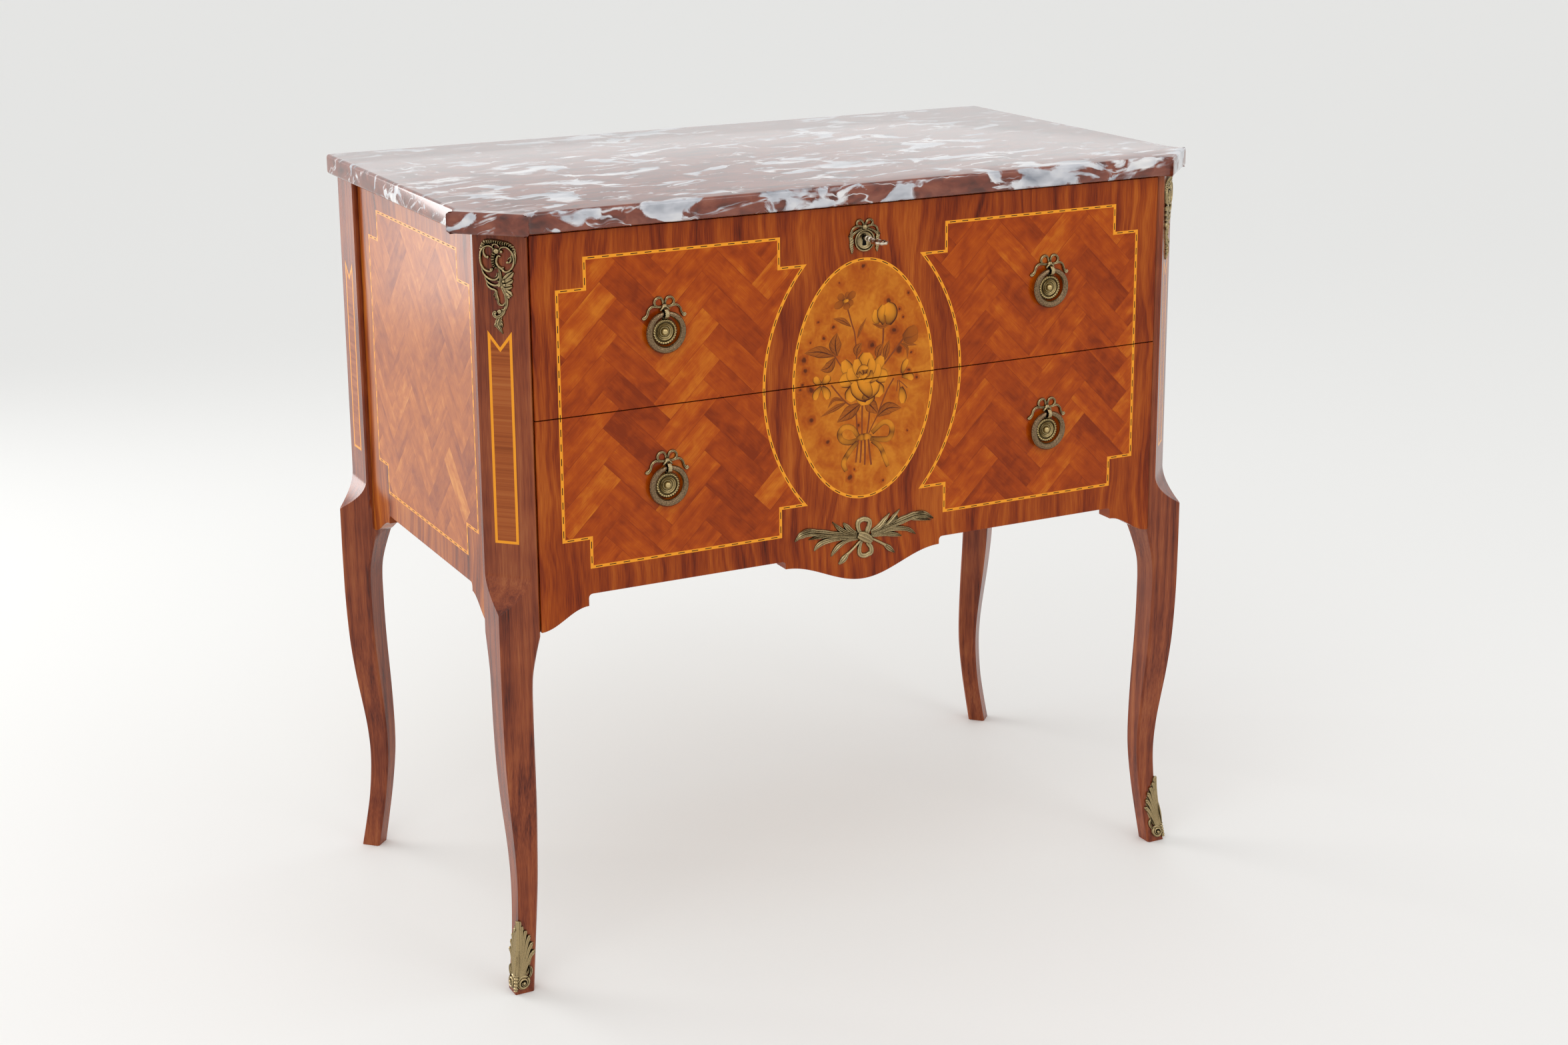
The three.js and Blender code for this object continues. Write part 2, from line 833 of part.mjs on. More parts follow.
function drawerSide(bottom) {
  const top = bottom + drawerSideHeight;
  const frontShoulder = frontThickness + seatGap;
  const backShoulder = drawerBack - drawerSideThickness - seatGap;
  const backBottom = bottom + drawerBottomLift + drawerBottomThickness + seatGap;
  const frontPitch = (top - bottom) / tailCount;
  const backPitch = (top - backBottom) / tailCount;
  const frontTails = tailCentres(bottom, top).map((centre) => (
    tailOutline(frontShoulder, frontShoulder - tailLength, centre, frontPitch, 0)
  ));
  const backTails = tailCentres(backBottom, top).map((centre) => (
    tailOutline(backShoulder, drawerBack, centre, backPitch, 0)
  ));
  const outline = shapeOf([
    [frontShoulder, bottom],
    [backShoulder, bottom],
    ...backTails.flat(),
    [backShoulder, top],
    [frontShoulder, top],
    ...frontTails.flat().reverse(),
  ]);
  const groove = box(
    drawerHalf - drawerSideThickness - overrun,
    drawerHalf - drawerSideThickness + grooveDepth,
    0,
    drawerBack + overrun,
    bottom + drawerBottomLift - seatGap,
    bottom + drawerBottomLift + drawerBottomThickness + seatGap,
  );
  return cut(prismAlongX(outline, drawerHalf - drawerSideThickness, drawerHalf), groove);
}

// Cutters for the sockets that the dovetails of both sides fill
function sockets(shoulder, tip, bottom, top) {
  const pitch = (top - bottom) / tailCount;
  return tailCentres(bottom, top).flatMap((centre) => {
    const outline = shapeOf(tailOutline(shoulder, tip, centre, pitch, seatGap));
    const socket = prismAlongX(outline, drawerHalf - drawerSideThickness - seatGap, drawerHalf + overrun);
    return [socket, mirrored(socket)];
  });
}

function frontCutters(bottom, pullHeight) {
  const top = bottom + drawerSideHeight;
  const shoulder = frontThickness + seatGap;
  const groove = box(
    -drawerHalf + drawerSideThickness - grooveDepth,
    drawerHalf - drawerSideThickness + grooveDepth,
    frontThickness - grooveDepth,
    frontThickness + overrun,
    bottom + drawerBottomLift - seatGap,
    bottom + drawerBottomLift + drawerBottomThickness + seatGap,
  );
  return [
    ...sockets(shoulder, shoulder - tailLength - seatGap, bottom, top),
    groove,
    studHole(-pullSpread / 2, pullHeight),
    studHole(pullSpread / 2, pullHeight),
  ];
}

function drawerBackBoard(bottom) {
  const top = bottom + drawerSideHeight;
  const lower = bottom + drawerBottomLift + drawerBottomThickness + seatGap;
  const front = drawerBack - drawerSideThickness;
  const board = box(-drawerHalf, drawerHalf, front, drawerBack, lower, top);
  return cut(board, ...sockets(front - seatGap, drawerBack, lower, top));
}

function drawerBottomBoard(bottom) {
  const half = drawerHalf - drawerSideThickness + grooveDepth - seatGap;
  const front = frontThickness - grooveDepth + seatGap;
  const lower = bottom + drawerBottomLift;
  return box(-half, half, front, drawerBack, lower, lower + drawerBottomThickness);
}

// Upper drawer front with the keyhole

const escutcheonHeight = upperFrontTop - escutcheonDrop;
const keyHeight = escutcheonHeight + keyholeRise;
const upperPullHeight = upperFrontTop - upperPullDrop;
const lowerPullHeight = lowerFrontTop - lowerPullDrop;

function keyhole(y0, y1) {
  const shank = new THREE.CylinderGeometry(keyholeRadius, keyholeRadius, y1 - y0, roundSegments / 2);
  shank.translate(0, (y0 + y1) / 2, keyHeight);
  const slot = box(-keyholeSlot / 2, keyholeSlot / 2, y0, y1, keyHeight - keyholeLength, keyHeight);
  return join(shank, slot);
}

function upperFront() {
  const board = box(-drawerHalf, drawerHalf, 0, frontThickness, upperFrontBottom, upperFrontTop);
  const cutters = frontCutters(upperSideBottom, upperPullHeight);
  return cut(board, ...cutters, keyhole(-overrun, frontThickness + overrun));
}

// Lower drawer front: brackets at the legs and a drop in the middle of its lower edge
function lowerFront() {
  const foot = legTop + frontBracketFootRise;
  const bracketTop = legTop + frontBracketTopRise;
  const step = drawerHalf - frontBracketLength;
  const right = [
    ...ogee([0, legTop + apronBottomRise], [apronHalfWidth, legTop + apronTopRise]),
    ...stepFillet(apronHalfWidth, underside, 1),
    ...stepFillet(step, underside, -1).reverse(),
    ...ogee([step, bracketTop], [drawerHalf, foot]),
    [drawerHalf, lowerFrontTop],
  ];
  const left = right.slice(1).map(([x, z]) => [-x, z]).reverse();
  const board = prismAlongY(shapeOf([...right, ...left]), 0, frontThickness);
  return cut(board, ...frontCutters(lowerSideBottom, lowerPullHeight));
}

function addDrawer(name, front, bottom, pullHeight) {
  addPiece(`${name}_drawer_front`, front, veneer);
  addPair(`${name}_drawer_*_side`, 'left', 'right', drawerSide(bottom), innerWood);
  addPiece(`${name}_drawer_back`, drawerBackBoard(bottom), innerWood);
  addPiece(`${name}_drawer_bottom`, drawerBottomBoard(bottom), innerWood);
  addPair(`${name}_*_pull_plate`, 'left', 'right', pullPlate(pullSpread / 2, pullHeight), brass);
  addPair(`${name}_*_pull_nut`, 'left', 'right', studNut(pullSpread / 2, pullHeight), brass);
  addPair(`${name}_*_pull_ring`, 'left', 'right', pullRing(pullSpread / 2, pullHeight), brass);
}

addDrawer('upper', upperFront(), upperSideBottom, upperPullHeight);
addDrawer('lower', lowerFront(), lowerSideBottom, lowerPullHeight);

// Keyhole plate: a moulded ring with a bow over it and tassels down its sides

const escutcheonShares = [
  [0, 0.5],
  [0.62, 0.5],
  [0.72, 1],
  [0.86, 0.7],
  [1, 0.85],
  [1, 0],
  [0, 0],
];

function escutcheon() {
  const turned = escutcheonShares.map(([radius, reach]) => (
    [radius * escutcheonRadius, reach * escutcheonThickness]
  ));
  const disc = turnedForm(turned.reverse(), roundSegments).translate(0, -seatGap, escutcheonHeight);
  const bow = onFront(
    ribbonBow(escutcheonWidth, escutcheonTailShares, bowThickness),
    0,
    escutcheonHeight + escutcheonRadius,
  );
  return cut(join(disc, bow), keyhole(-overrun, overrun));
}

addPiece('escutcheon', escutcheon(), brass);

// Lock: a flat case behind the drawer front, with room for the key's bit to turn

const lockFront = frontThickness + seatGap;
const lockTop = topRailBottom - lockClearance;
const bitSweep = bitReach + bitClearance;
const boltFront = lockFront + lockWall + seatGap;
const boltBack = lockFront + lockThickness - lockWall - seatGap;

function lockCase() {
  const back = lockFront + lockThickness;
  const shell = box(-lockWidth / 2, lockWidth / 2, lockFront, back, lockTop - lockHeight, lockTop);
  const chamber = box(
    -bitSweep,
    bitSweep,
    lockFront + lockWall,
    back - lockWall,
    keyHeight - bitSweep,
    keyHeight + bitSweep,
  );
  const boltSlot = box(
    -boltWidth / 2 - seatGap,
    boltWidth / 2 + seatGap,
    boltFront - seatGap,
    boltBack + seatGap,
    keyHeight,
    lockTop + overrun,
  );
  return cut(shell, chamber, boltSlot, keyhole(lockFront - overrun, lockFront + overrun));
}

addPiece('lock_case', lockCase(), steel);
addPiece(
  'lock_bolt',
  box(-boltWidth / 2, boltWidth / 2, boltFront, boltBack, keyHeight + bitSweep, lockTop - seatGap),
  steel,
);

// Key, turned a quarter from where it goes in, so that its bow lies level
function key() {
  const tip = -(lockFront + lockThickness - lockWall - seatGap);
  const bowStart = keyReach - keyBowLength;
  const shank = turnedForm([
    [0, tip],
    [keyShankRadius, tip],
    [keyShankRadius, keyCollarReach],
    [keyCollarRadius, keyCollarReach],
    [keyCollarRadius, keyCollarReach + keyCollarThickness],
    [keyShankRadius, keyCollarReach + keyCollarThickness],
    [keyShankRadius, bowStart + keyShankRadius],
    [0, bowStart + keyShankRadius],
  ], roundSegments / 2).translate(0, 0, keyHeight);
  const bowShape = new THREE.Shape();
  const centre = -keyReach + keyBowLength / 2;
  bowShape.absellipse(0, centre, keyBowWidth / 2, keyBowLength / 2, 0, Math.PI * 2);
  const holeWidth = keyHoleWidthShare * keyBowWidth;
  const holeLength = keyHoleLengthShare * keyBowLength;
  const hole = new THREE.Path();
  hole.absellipse(0, centre, holeWidth / 2, holeLength / 2, 0, Math.PI * 2, true);
  bowShape.holes.push(hole);
  const bowBottom = keyHeight - keyBowThickness / 2;
  const bow = prismAlongZ(bowShape, bowBottom, bowBottom + keyBowThickness);
  const bitBottom = keyHeight - bitThickness / 2;
  const bit = box(0, bitReach, -tip - bitWidth, -tip, bitBottom, bitBottom + bitThickness);
  return join(shank, bow, bit);
}

addPiece('key', key(), steel);

// Apron mount: crossed sprays tied by a bow. Each leaf in shares of the mount's width:
// root, middle and tip, then its greatest width
const apronLeafShares = [
  [[-0.02, 0.01], [-0.3, 0.09], [-0.49, 0.03], 0.055],
  [[-0.02, 0], [-0.2, 0.01], [-0.36, -0.04], 0.035],
  [[-0.02, -0.01], [-0.13, -0.03], [-0.24, -0.1], 0.035],
  [[-0.01, -0.02], [-0.09, -0.08], [-0.18, -0.16], 0.05],
  [[-0.01, 0.02], [-0.11, 0.04], [-0.22, 0.12], 0.035],
  [[-0.01, 0.03], [-0.07, 0.05], [-0.14, 0.1], 0.035],
  [[0.02, 0.01], [0.3, 0.09], [0.5, 0.05], 0.055],
  [[0.02, 0], [0.2, 0.02], [0.37, -0.04], 0.035],
  [[0.02, 0.02], [0.14, 0.08], [0.26, 0.14], 0.045],
  [[0.02, 0.02], [0.1, 0.07], [0.19, 0.12], 0.035],
  [[0.02, -0.01], [0.16, 0], [0.28, -0.04], 0.03],
  [[0.02, -0.02], [0.1, -0.08], [0.22, -0.15], 0.04],
];
const apronLoopShares = [
  [[-0.012, 0], [-0.035, 0.1], [0.04, 0.11], [0.03, 0.03], [0.004, 0.004]],
  [[-0.004, -0.004], [-0.04, -0.13], [0.02, -0.17], [0.05, -0.12], [0.012, 0]],
];
const apronTipShare = 0.012;
const apronLoopStripShare = 0.024;

function apronMount() {
  const scaled = (points) => points.map(([x, y]) => [x * apronMountWidth, y * apronMountWidth]);
  const leaves = apronLeafShares.map(([root, middle, tip, widest]) => {
    const width = leafWidth(widest * apronMountWidth, apronTipShare * apronMountWidth);
    return extruded(ribbon(scaled([root, middle, tip]), width), apronMountThickness);
  });
  const strip = apronLoopStripShare * apronMountWidth;
  const loops = apronLoopShares.map((loop) => (
    extruded(ribbon(scaled(loop), scrollWidth(strip, strip)), apronMountThickness)
  ));
  const knotDepth = apronMountThickness + strip / 2;
  const knot = new THREE.CylinderGeometry(strip, strip, knotDepth, tubeSegments);
  knot.rotateX(Math.PI / 2).translate(0, 0, knotDepth / 2);
  return onFront(join(...leaves, ...loops, knot), 0, legTop + apronMountRise);
}

addPiece('apron_mount', apronMount(), brass);

// Corner mounts: each scroll in shares of the mount's height from the foot of the mount,
// with its line first and then its widths at both ends
const cornerScrollShares = [
  [[[0.01, 0.87], [-0.08, 0.91], [-0.18, 0.83], [-0.15, 0.7], [-0.06, 0.66]], 0.022, 0.03],
  [[[-0.16, 0.88], [-0.14, 0.81], [-0.09, 0.79]], 0.035, 0.02],
  [[[0.04, 0.86], [0.12, 0.91], [0.22, 0.82], [0.19, 0.69], [0.07, 0.67]], 0.03, 0.03],
  [[[0.2, 0.86], [0.17, 0.79], [0.12, 0.76]], 0.035, 0.02],
  [[[-0.18, 0.9], [-0.1, 0.97], [0.04, 0.98], [0.14, 0.96], [0.22, 0.88]], 0.06, 0.06],
  [[[0.04, 0.85], [-0.02, 0.78], [0.02, 0.69], [0.06, 0.69]], 0.06, 0.03],
  [[[-0.17, 0.72], [-0.12, 0.6], [0, 0.57], [0.04, 0.67]], 0.03, 0.03],
  [[[-0.15, 0.64], [-0.1, 0.52], [0.02, 0.5], [0.04, 0.56]], 0.05, 0.03],
  [[[0.2, 0.66], [0.13, 0.53], [0.1, 0.44], [0.15, 0.37]], 0.05, 0.04],
  [[[0, 0.5], [0.02, 0.4], [0.04, 0.3]], 0.05, 0.02],
  [[[0.12, 0.42], [0.1, 0.28], [0.04, 0.14], [-0.02, 0.2]], 0.05, 0.03],
  [[[0.06, 0.18], [0.02, 0.12], [-0.03, 0.1], [0.04, 0.01]], 0.06, 0.02],
  [[[0.01, 0.88], [0.02, 0.7], [0.04, 0.5], [0.1, 0.4]], 0.04, 0.03],
];

function cornerMount() {
  const scaled = (points) => points.map(([x, y]) => [x * cornerMountHeight, y * cornerMountHeight]);
  const scrolls = cornerScrollShares.map(([line, start, end]) => (
    extruded(
      ribbon(scaled(line), scrollWidth(start * cornerMountHeight, end * cornerMountHeight)),
      cornerMountThickness,
    )
  ));
  const foot = caseHeight - cornerMountDrop;
  return onFront(join(...scrolls), 0, foot)
    .rotateZ(-Math.PI / 4)
    .translate(-halfWidth + cantDepth / 2, cantDepth / 2, 0);
}

addPiece('left_corner_mount', cornerMount(), brass);
addPiece('right_corner_mount', mirrored(cornerMount()), brass);

// Sabots: leaf-shaped shoes over the outer corner of the front feet. Each level is a share of
// their height and holds the reach of the lobed leaf along both faces
const sabotShares = [
  [0, 0.13],
  [0.08, 0.17],
  [0.19, 0.16],
  [0.25, 0.19],
  [0.29, 0.235],
  [0.33, 0.2],
  [0.45, 0.25],
  [0.49, 0.2],
  [0.62, 0.22],
  [0.66, 0.17],
  [0.77, 0.17],
  [0.81, 0.11],
  [0.9, 0.1],
  [1, 0.03],
];

function legAt(height) {
  const above = Math.max(1, legLevels.findIndex((level) => level.z >= height));
  const lower = legLevels[above - 1];
  const upper = legLevels[above];
  return lower.clone().lerp(upper, (height - lower.z) / (upper.z - lower.z));
}

// The leaf follows the leg at an even thickness
function sabotLeaf() {
  const rings = sabotShares.map(([rise, reach]) => {
    const height = sabotLift + rise * sabotHeight;
    const { x: setIn } = legAt(height);
    const leaf = reach * sabotHeight;
    const outer = seatGap + sabotThickness;
    const corners = [
      [-setIn - leaf, setIn - outer],
      [-setIn + outer, setIn - outer],
      [-setIn + outer, setIn + leaf],
      [-setIn + seatGap, setIn + leaf],
      [-setIn + seatGap, setIn - seatGap],
      [-setIn - leaf, setIn - seatGap],
    ];
    return corners.map(([x, y]) => new THREE.Vector3(x, y, height));
  });
  return loft(rings);
}

// A volute stands on each face at the foot, clear of the leg that flares out below it
function sabot() {
  const centre = sabotLift + voluteRise;
  const { x: setIn } = legAt(centre - voluteRadius);
  const middle = seatGap + voluteThickness / 2;
  const volute = () => (
    new THREE.CylinderGeometry(voluteRadius, voluteRadius, voluteThickness, roundSegments)
  );
  const front = volute().translate(-setIn - voluteReach, setIn - middle, centre);
  const side = volute().rotateZ(Math.PI / 2).translate(middle - setIn, setIn + voluteReach, centre);
  return join(sabotLeaf(), front, side).translate(halfWidth, 0, 0);
}

addPair('*_sabot', 'left', 'right', sabot(), brass);

export default chest;
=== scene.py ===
"""Two-drawer commode chest: kingwood and parquetry veneer, marble top, cast brass mounts.

Drawings are in millimetres, X from the middle and heights from the floor; meshes are in metres.
What the pieces share with the solids is read from the frame.
"""

import logging
import math
from collections.abc import Callable, Sequence
from dataclasses import dataclass
from enum import Enum
from functools import partial

import bmesh
import bpy
import numpy as np
from mathutils import Matrix, Vector


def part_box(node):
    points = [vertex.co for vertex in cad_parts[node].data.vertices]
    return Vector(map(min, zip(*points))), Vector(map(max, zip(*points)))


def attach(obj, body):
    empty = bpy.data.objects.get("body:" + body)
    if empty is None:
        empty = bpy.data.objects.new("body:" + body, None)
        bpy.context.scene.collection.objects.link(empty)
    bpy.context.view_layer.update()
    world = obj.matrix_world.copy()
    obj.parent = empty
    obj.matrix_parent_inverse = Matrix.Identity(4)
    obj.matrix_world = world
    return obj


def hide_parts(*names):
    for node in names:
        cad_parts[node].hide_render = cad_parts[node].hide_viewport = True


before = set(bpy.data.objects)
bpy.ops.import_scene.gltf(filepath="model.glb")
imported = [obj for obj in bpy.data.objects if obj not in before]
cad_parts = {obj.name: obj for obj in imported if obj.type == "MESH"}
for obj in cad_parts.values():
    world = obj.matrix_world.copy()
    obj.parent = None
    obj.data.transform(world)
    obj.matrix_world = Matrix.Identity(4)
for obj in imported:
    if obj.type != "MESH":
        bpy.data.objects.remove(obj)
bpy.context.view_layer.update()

LOG = logging.getLogger("commode")
MM = 0.001
TURN = 2 * math.pi
SLANT = math.sqrt(0.5)
TOUCH = 1e-5  # metres within which corners lie on one level

Array = np.ndarray
Pair, Triple, Quad = (tuple[(float,) * count] for count in (2, 3, 4))
Tree, Node, Socket = bpy.types.NodeTree, bpy.types.Node, bpy.types.NodeSocket
Stops = tuple[tuple[float, str], ...]
Line = Sequence[Sequence[float]] | Array


def linear(code: str) -> tuple[float, ...]:
    """Turn six sRGB hex digits into linear light with an alpha of one."""
    values = [int(code[i : i + 2], 16) / 255 for i in (0, 2, 4)]
    return (*(v / 12.92 if v <= 0.04045 else ((v + 0.055) / 1.055) ** 2.4 for v in values), 1.0)


def wire(node: Node, links: dict) -> None:
    """Set or link a node's sockets.

    Args:
        node: the node.
        links: a socket's name or place, with a value, another socket or a Field.
    """
    for name, source in links.items():
        source = source.socket if isinstance(source, Field) else source
        if isinstance(source, Socket):
            node.id_data.links.new(source, node.inputs[name])
        else:
            node.inputs[name].default_value = source


def add(tree: Tree, kind: str, links: dict, **settings) -> Node:
    """Add a node.

    Args:
        tree: the node tree that gets the node.
        kind: the node's type name.
        links: what its sockets get, as wire() takes it.
        settings: properties of the node itself.

    Returns:
        The new node.
    """
    node = tree.nodes.new(kind)
    for name, value in settings.items():
        setattr(node, name, value)
    wire(node, links)
    return node


@dataclass(frozen=True)
class Field:
    """A number that varies over a surface, with arithmetic that writes the nodes for it."""

    socket: Socket

    def math(self, operation: str, *others: "Field | float", first: "Field | float | None" = None) -> "Field":
        """Apply one operation.

        Args:
            operation: the Math node's name for it.
            others: what follows this field.
            first: what stands before this field, in place of others.

        Returns:
            The result as a Field.
        """
        terms = (self, *others) if first is None else (first, self)
        node = add(self.socket.id_data, "ShaderNodeMath", dict(enumerate(terms)), operation=operation)
        return Field(node.outputs[0])

    def __add__(self, other: "Field | float") -> "Field":
        """Sum of two fields."""
        return self.math("ADD", other)

    def __sub__(self, other: "Field | float") -> "Field":
        """Difference of two fields."""
        return self.math("SUBTRACT", other)

    def __rsub__(self, other: float) -> "Field":
        """A number less this field."""
        return self.math("SUBTRACT", first=other)

    def __mul__(self, other: "Field | float") -> "Field":
        """Product of two fields."""
        return self.math("MULTIPLY", other)

    def __truediv__(self, other: "Field | float") -> "Field":
        """Quotient of two fields."""
        return self.math("DIVIDE", other)

    def under(self, other: "Field | float") -> "Field":
        """One where the field is less than the other, and zero elsewhere."""
        return self.math("LESS_THAN", other)

    def held(self) -> "Field":
        """The field, held between 0 and 1."""
        return self.math("MAXIMUM", 0.0).math("MINIMUM", 1.0)

    def mixed(self, other: "Field", share: "Field") -> "Field":
        """This field where share is zero, the other where it is one."""
        return self + (other - self) * share


def clouds(places: Sequence[Field | float], detail: float = 2.0, warp: float = 0.0,
           scale: float = 1.0) -> Field:
    """Cloudy pattern between 0 and 1 in three measures of place.

    Args:
        places: the three measures, the first one a Field.
        detail: how many finer layers it has.
        warp: how far it is bent by itself.
        scale: patches in one unit of the measures.

    Returns:
        The pattern as a Field.
    """
    tree = places[0].socket.id_data
    at = add(tree, "ShaderNodeCombineXYZ", dict(enumerate(places))).outputs[0]
    links = {"Vector": at, "Scale": scale, "Detail": detail, "Distortion": warp}
    return Field(add(tree, "ShaderNodeTexNoise", links).outputs["Fac"])


Coat = tuple[Field | float, Field, Stops]


def dye(shader: Node, *coats: Coat) -> None:
    """Colour a surface in coats.

    Args:
        shader: the node that gets the colour.
        coats: how far each coat hides the one under it, the field that runs along its colours,
            and these colours with their places from 0 to 1.
    """
    tree, colour = shader.id_data, None
    for share, along, stops in coats:
        coat = add(tree, "ShaderNodeValToRGB", {0: along})
        elements = coat.color_ramp.elements
        while len(elements) < len(stops):
            elements.new(0.5)
        for element, (place, code) in zip(elements, stops):
            element.position = place
            element.color = linear(code)
        if colour is None:
            colour = coat.outputs["Color"]
        else:
            links = {0: share, 6: colour, 7: coat.outputs["Color"]}
            colour = add(tree, "ShaderNodeMix", links, data_type="RGBA").outputs[2]
    wire(shader, {"Base Color": colour})


GRAIN_WIDTH, GRAIN_LENGTH = 0.9, 9.0  # millimetres, of the small inlaid blades


class Way(Enum):
    """Which of the two level directions a face or a board runs in."""

    ACROSS = 0
    DEEP = 1


@dataclass(frozen=True)
class Finish:
    """A material: subclasses say what it is and paint it."""

    name: str

    def build(self) -> bpy.types.Material:
        """Make the material, or fetch it if it has been made.

        Returns:
            The material.
        """
        ready = bpy.data.materials.get(self.name)
        if ready:
            return ready
        made = bpy.data.materials.new(self.name)
        made.use_nodes = True
        self.paint(made.node_tree, made.node_tree.nodes["Principled BSDF"])
        return made

    def paint(self, tree: Tree, shader: Node) -> None:
        """Set the shader's sockets and link what varies."""
        raise NotImplementedError

    @staticmethod
    def places(tree: Tree) -> tuple[Field, ...]:
        """X, Y and Z on the object in millimetres.

        Args:
            tree: the material's nodes.

        Returns:
            A Field for each.
        """
        coords = add(tree, "ShaderNodeTexCoord", {}).outputs["Object"]
        parts = add(tree, "ShaderNodeSeparateXYZ", {0: coords}).outputs
        return tuple(Field(part) * (1 / MM) for part in parts)

    @staticmethod
    def bump(shader: Node, height: Field, depth: float, strength: float) -> None:
        """Raise the surface by a field, depth in millimetres at full height."""
        links = {"Height": height, "Distance": depth * MM, "Strength": strength}
        wire(shader, {"Normal": add(shader.id_data, "ShaderNodeBump", links).outputs[0]})


@dataclass(frozen=True)
class PolishedVeneer(Finish):
    """French polished veneer: a glassy shellac skin over stripes that run up the face.

    Lengths are in millimetres: the stripes' width and length, the pores' too, the size of the
    cloudy figure, and how far the stripes sway over the sway's patches."""

    stops: Stops
    way: Way = Way.ACROSS
    stripe: float = 9.0
    stripe_length: float = 320.0
    pore: float = 0.8
    pore_length: float = 22.0
    figure: float = 52.0
    sway: float = 44.0
    sway_patch: Pair = (110.0, 130.0)
    gloss: float = 0.2
    shine: float = 0.17

    def grain(self, across: Field, along: Field) -> Field:
        """Stripes, cloudy figure and fine pores, drawn out along the grain.

        Args:
            across: the place across the grain.
            along: the place along it.

        Returns:
            The sum of the three, between 0 and 1.
        """
        drift = clouds((across / self.sway_patch[0], along / self.sway_patch[1], 11.0)) - 0.5
        bent = across + drift * self.sway
        stripes = clouds((bent / self.stripe, along / self.stripe_length, 0.0), 4.0, 0.35)
        figure = clouds((across / self.figure, along / (2 * self.figure), 3.0))
        pores = clouds((across / self.pore, along / self.pore_length, 7.0), 1.0)
        return stripes * 0.5 + figure * 0.28 + pores * 0.22

    def coat(self, shader: Node, shade: Field, streak: Field, *over: Coat) -> None:
        """Colours along the shade under shellac, with an IOR of 1.5 and pores that show in it.

        Args:
            shader: the surface.
            shade: where along the colours it is.
            streak: what raises it.
            over: coats that hide the first one.
        """
        dye(shader, (1.0, shade, self.stops), *over)
        wire(shader, {"Roughness": self.gloss, "IOR": 1.5, "Specular IOR Level": self.shine})
        self.bump(shader, streak, 0.06, 0.2)

    def paint(self, tree: Tree, shader: Node) -> None:
        """Grain along Z.

        Args:
            tree: the material's nodes.
            shader: its surface.
        """
        places = self.places(tree)
        streak = self.grain(places[self.way.value], places[2])
        self.coat(shader, streak, streak)


@dataclass(frozen=True)
class TurnedVeneer(PolishedVeneer):
    """The same polish on posts and legs, whose grain runs up and wraps around the stick."""

    def paint(self, tree: Tree, shader: Node) -> None:
        """Grain along Z with solid stripes in X and Y.

        Args:
            tree: the material's nodes.
            shader: its surface.
        """
        x, y, z = self.places(tree)
        stripes = clouds((x / self.stripe, y / self.stripe, z / self.stripe_length), 4.0, 0.5)
        pores = clouds((x / self.pore, y / self.pore, z / self.pore_length), 1.0)
        figure = clouds((x / self.figure, y / self.figure, z / self.figure))
        streak = stripes * 0.52 + pores * 0.24 + figure * 0.24
        self.coat(shader, streak, streak)


@dataclass(frozen=True)
class CrossVeneer(PolishedVeneer):
    """The same polish over grain that lies level across an upright face."""

    def paint(self, tree: Tree, shader: Node) -> None:
        """Stripes stacked in Z, drawn out in X and Y alike.

        Args:
            tree: the material's nodes.
            shader: its surface.
        """
        x, y, z = self.places(tree)
        streak = self.grain(z, x + y)
        self.coat(shader, streak, streak)


@dataclass(frozen=True)
class Parquetry(PolishedVeneer):
    """Herringbone of short strips laid at 45 degrees, each with its own tone and grain.

    Strips, mottle and the shift that gives each strip its own grain are in millimetres, joints in
    shares of a strip's width."""

    strip: float = 27.0
    length_in_widths: int = 3
    tone: float = 0.13
    # painted shade: strips that fall to the right are darker, as the sheen of their grain gives back less light
    falling_painted_shade: float = -0.05
    joint: float = 0.01
    joint_tone: float = 0.12
    mottle: float = 16.0
    shift: Pair = (113.0, 977.0)

    def paint(self, tree: Tree, shader: Node) -> None:
        """A cell belongs to a strip that rises to the right where its diagonal count is low,
        and to one that falls where it is high; the strip's first cell names its tone.

        Args:
            tree: the material's nodes.
            shader: its surface.
        """
        places = self.places(tree)
        level, z = places[self.way.value], places[2]
        rise, fall = ((level + z) * (SLANT / self.strip), (z - level) * (SLANT / self.strip))
        i, j = rise.math("FLOOR"), fall.math("FLOOR")
        count = self.length_in_widths
        step = (i - j).math("FLOORED_MODULO", 2 * count)
        falls = 1.0 - step.under(count)
        first = {0: (i - step).mixed(i, falls), 1: j.mixed(j + step - (2 * count - 1), falls)}
        cell = add(tree, "ShaderNodeCombineXYZ", first).outputs[0]
        name = add(tree, "ShaderNodeTexWhiteNoise", {"Vector": cell}, noise_dimensions="3D")
        tone = Field(name.outputs["Value"])
        across, along = fall.mixed(rise, falls), rise.mixed(fall, falls)
        ways = zip((across, along), self.shift)
        streak = self.grain(*(way * self.strip + tone * shift for way, shift in ways))
        edge = across.math("FLOORED_MODULO", 1.0)
        joint = edge.under(self.joint) + (1.0 - edge).under(self.joint)
        patches = clouds((level / self.mottle, z / self.mottle, tone * 40.0), 3.0, 0.6)
        shade = streak * 0.7 + patches * 0.3 + (tone - 0.5) * self.tone
        self.coat(shader, shade + falls * self.falling_painted_shade - joint * self.joint_tone, streak)


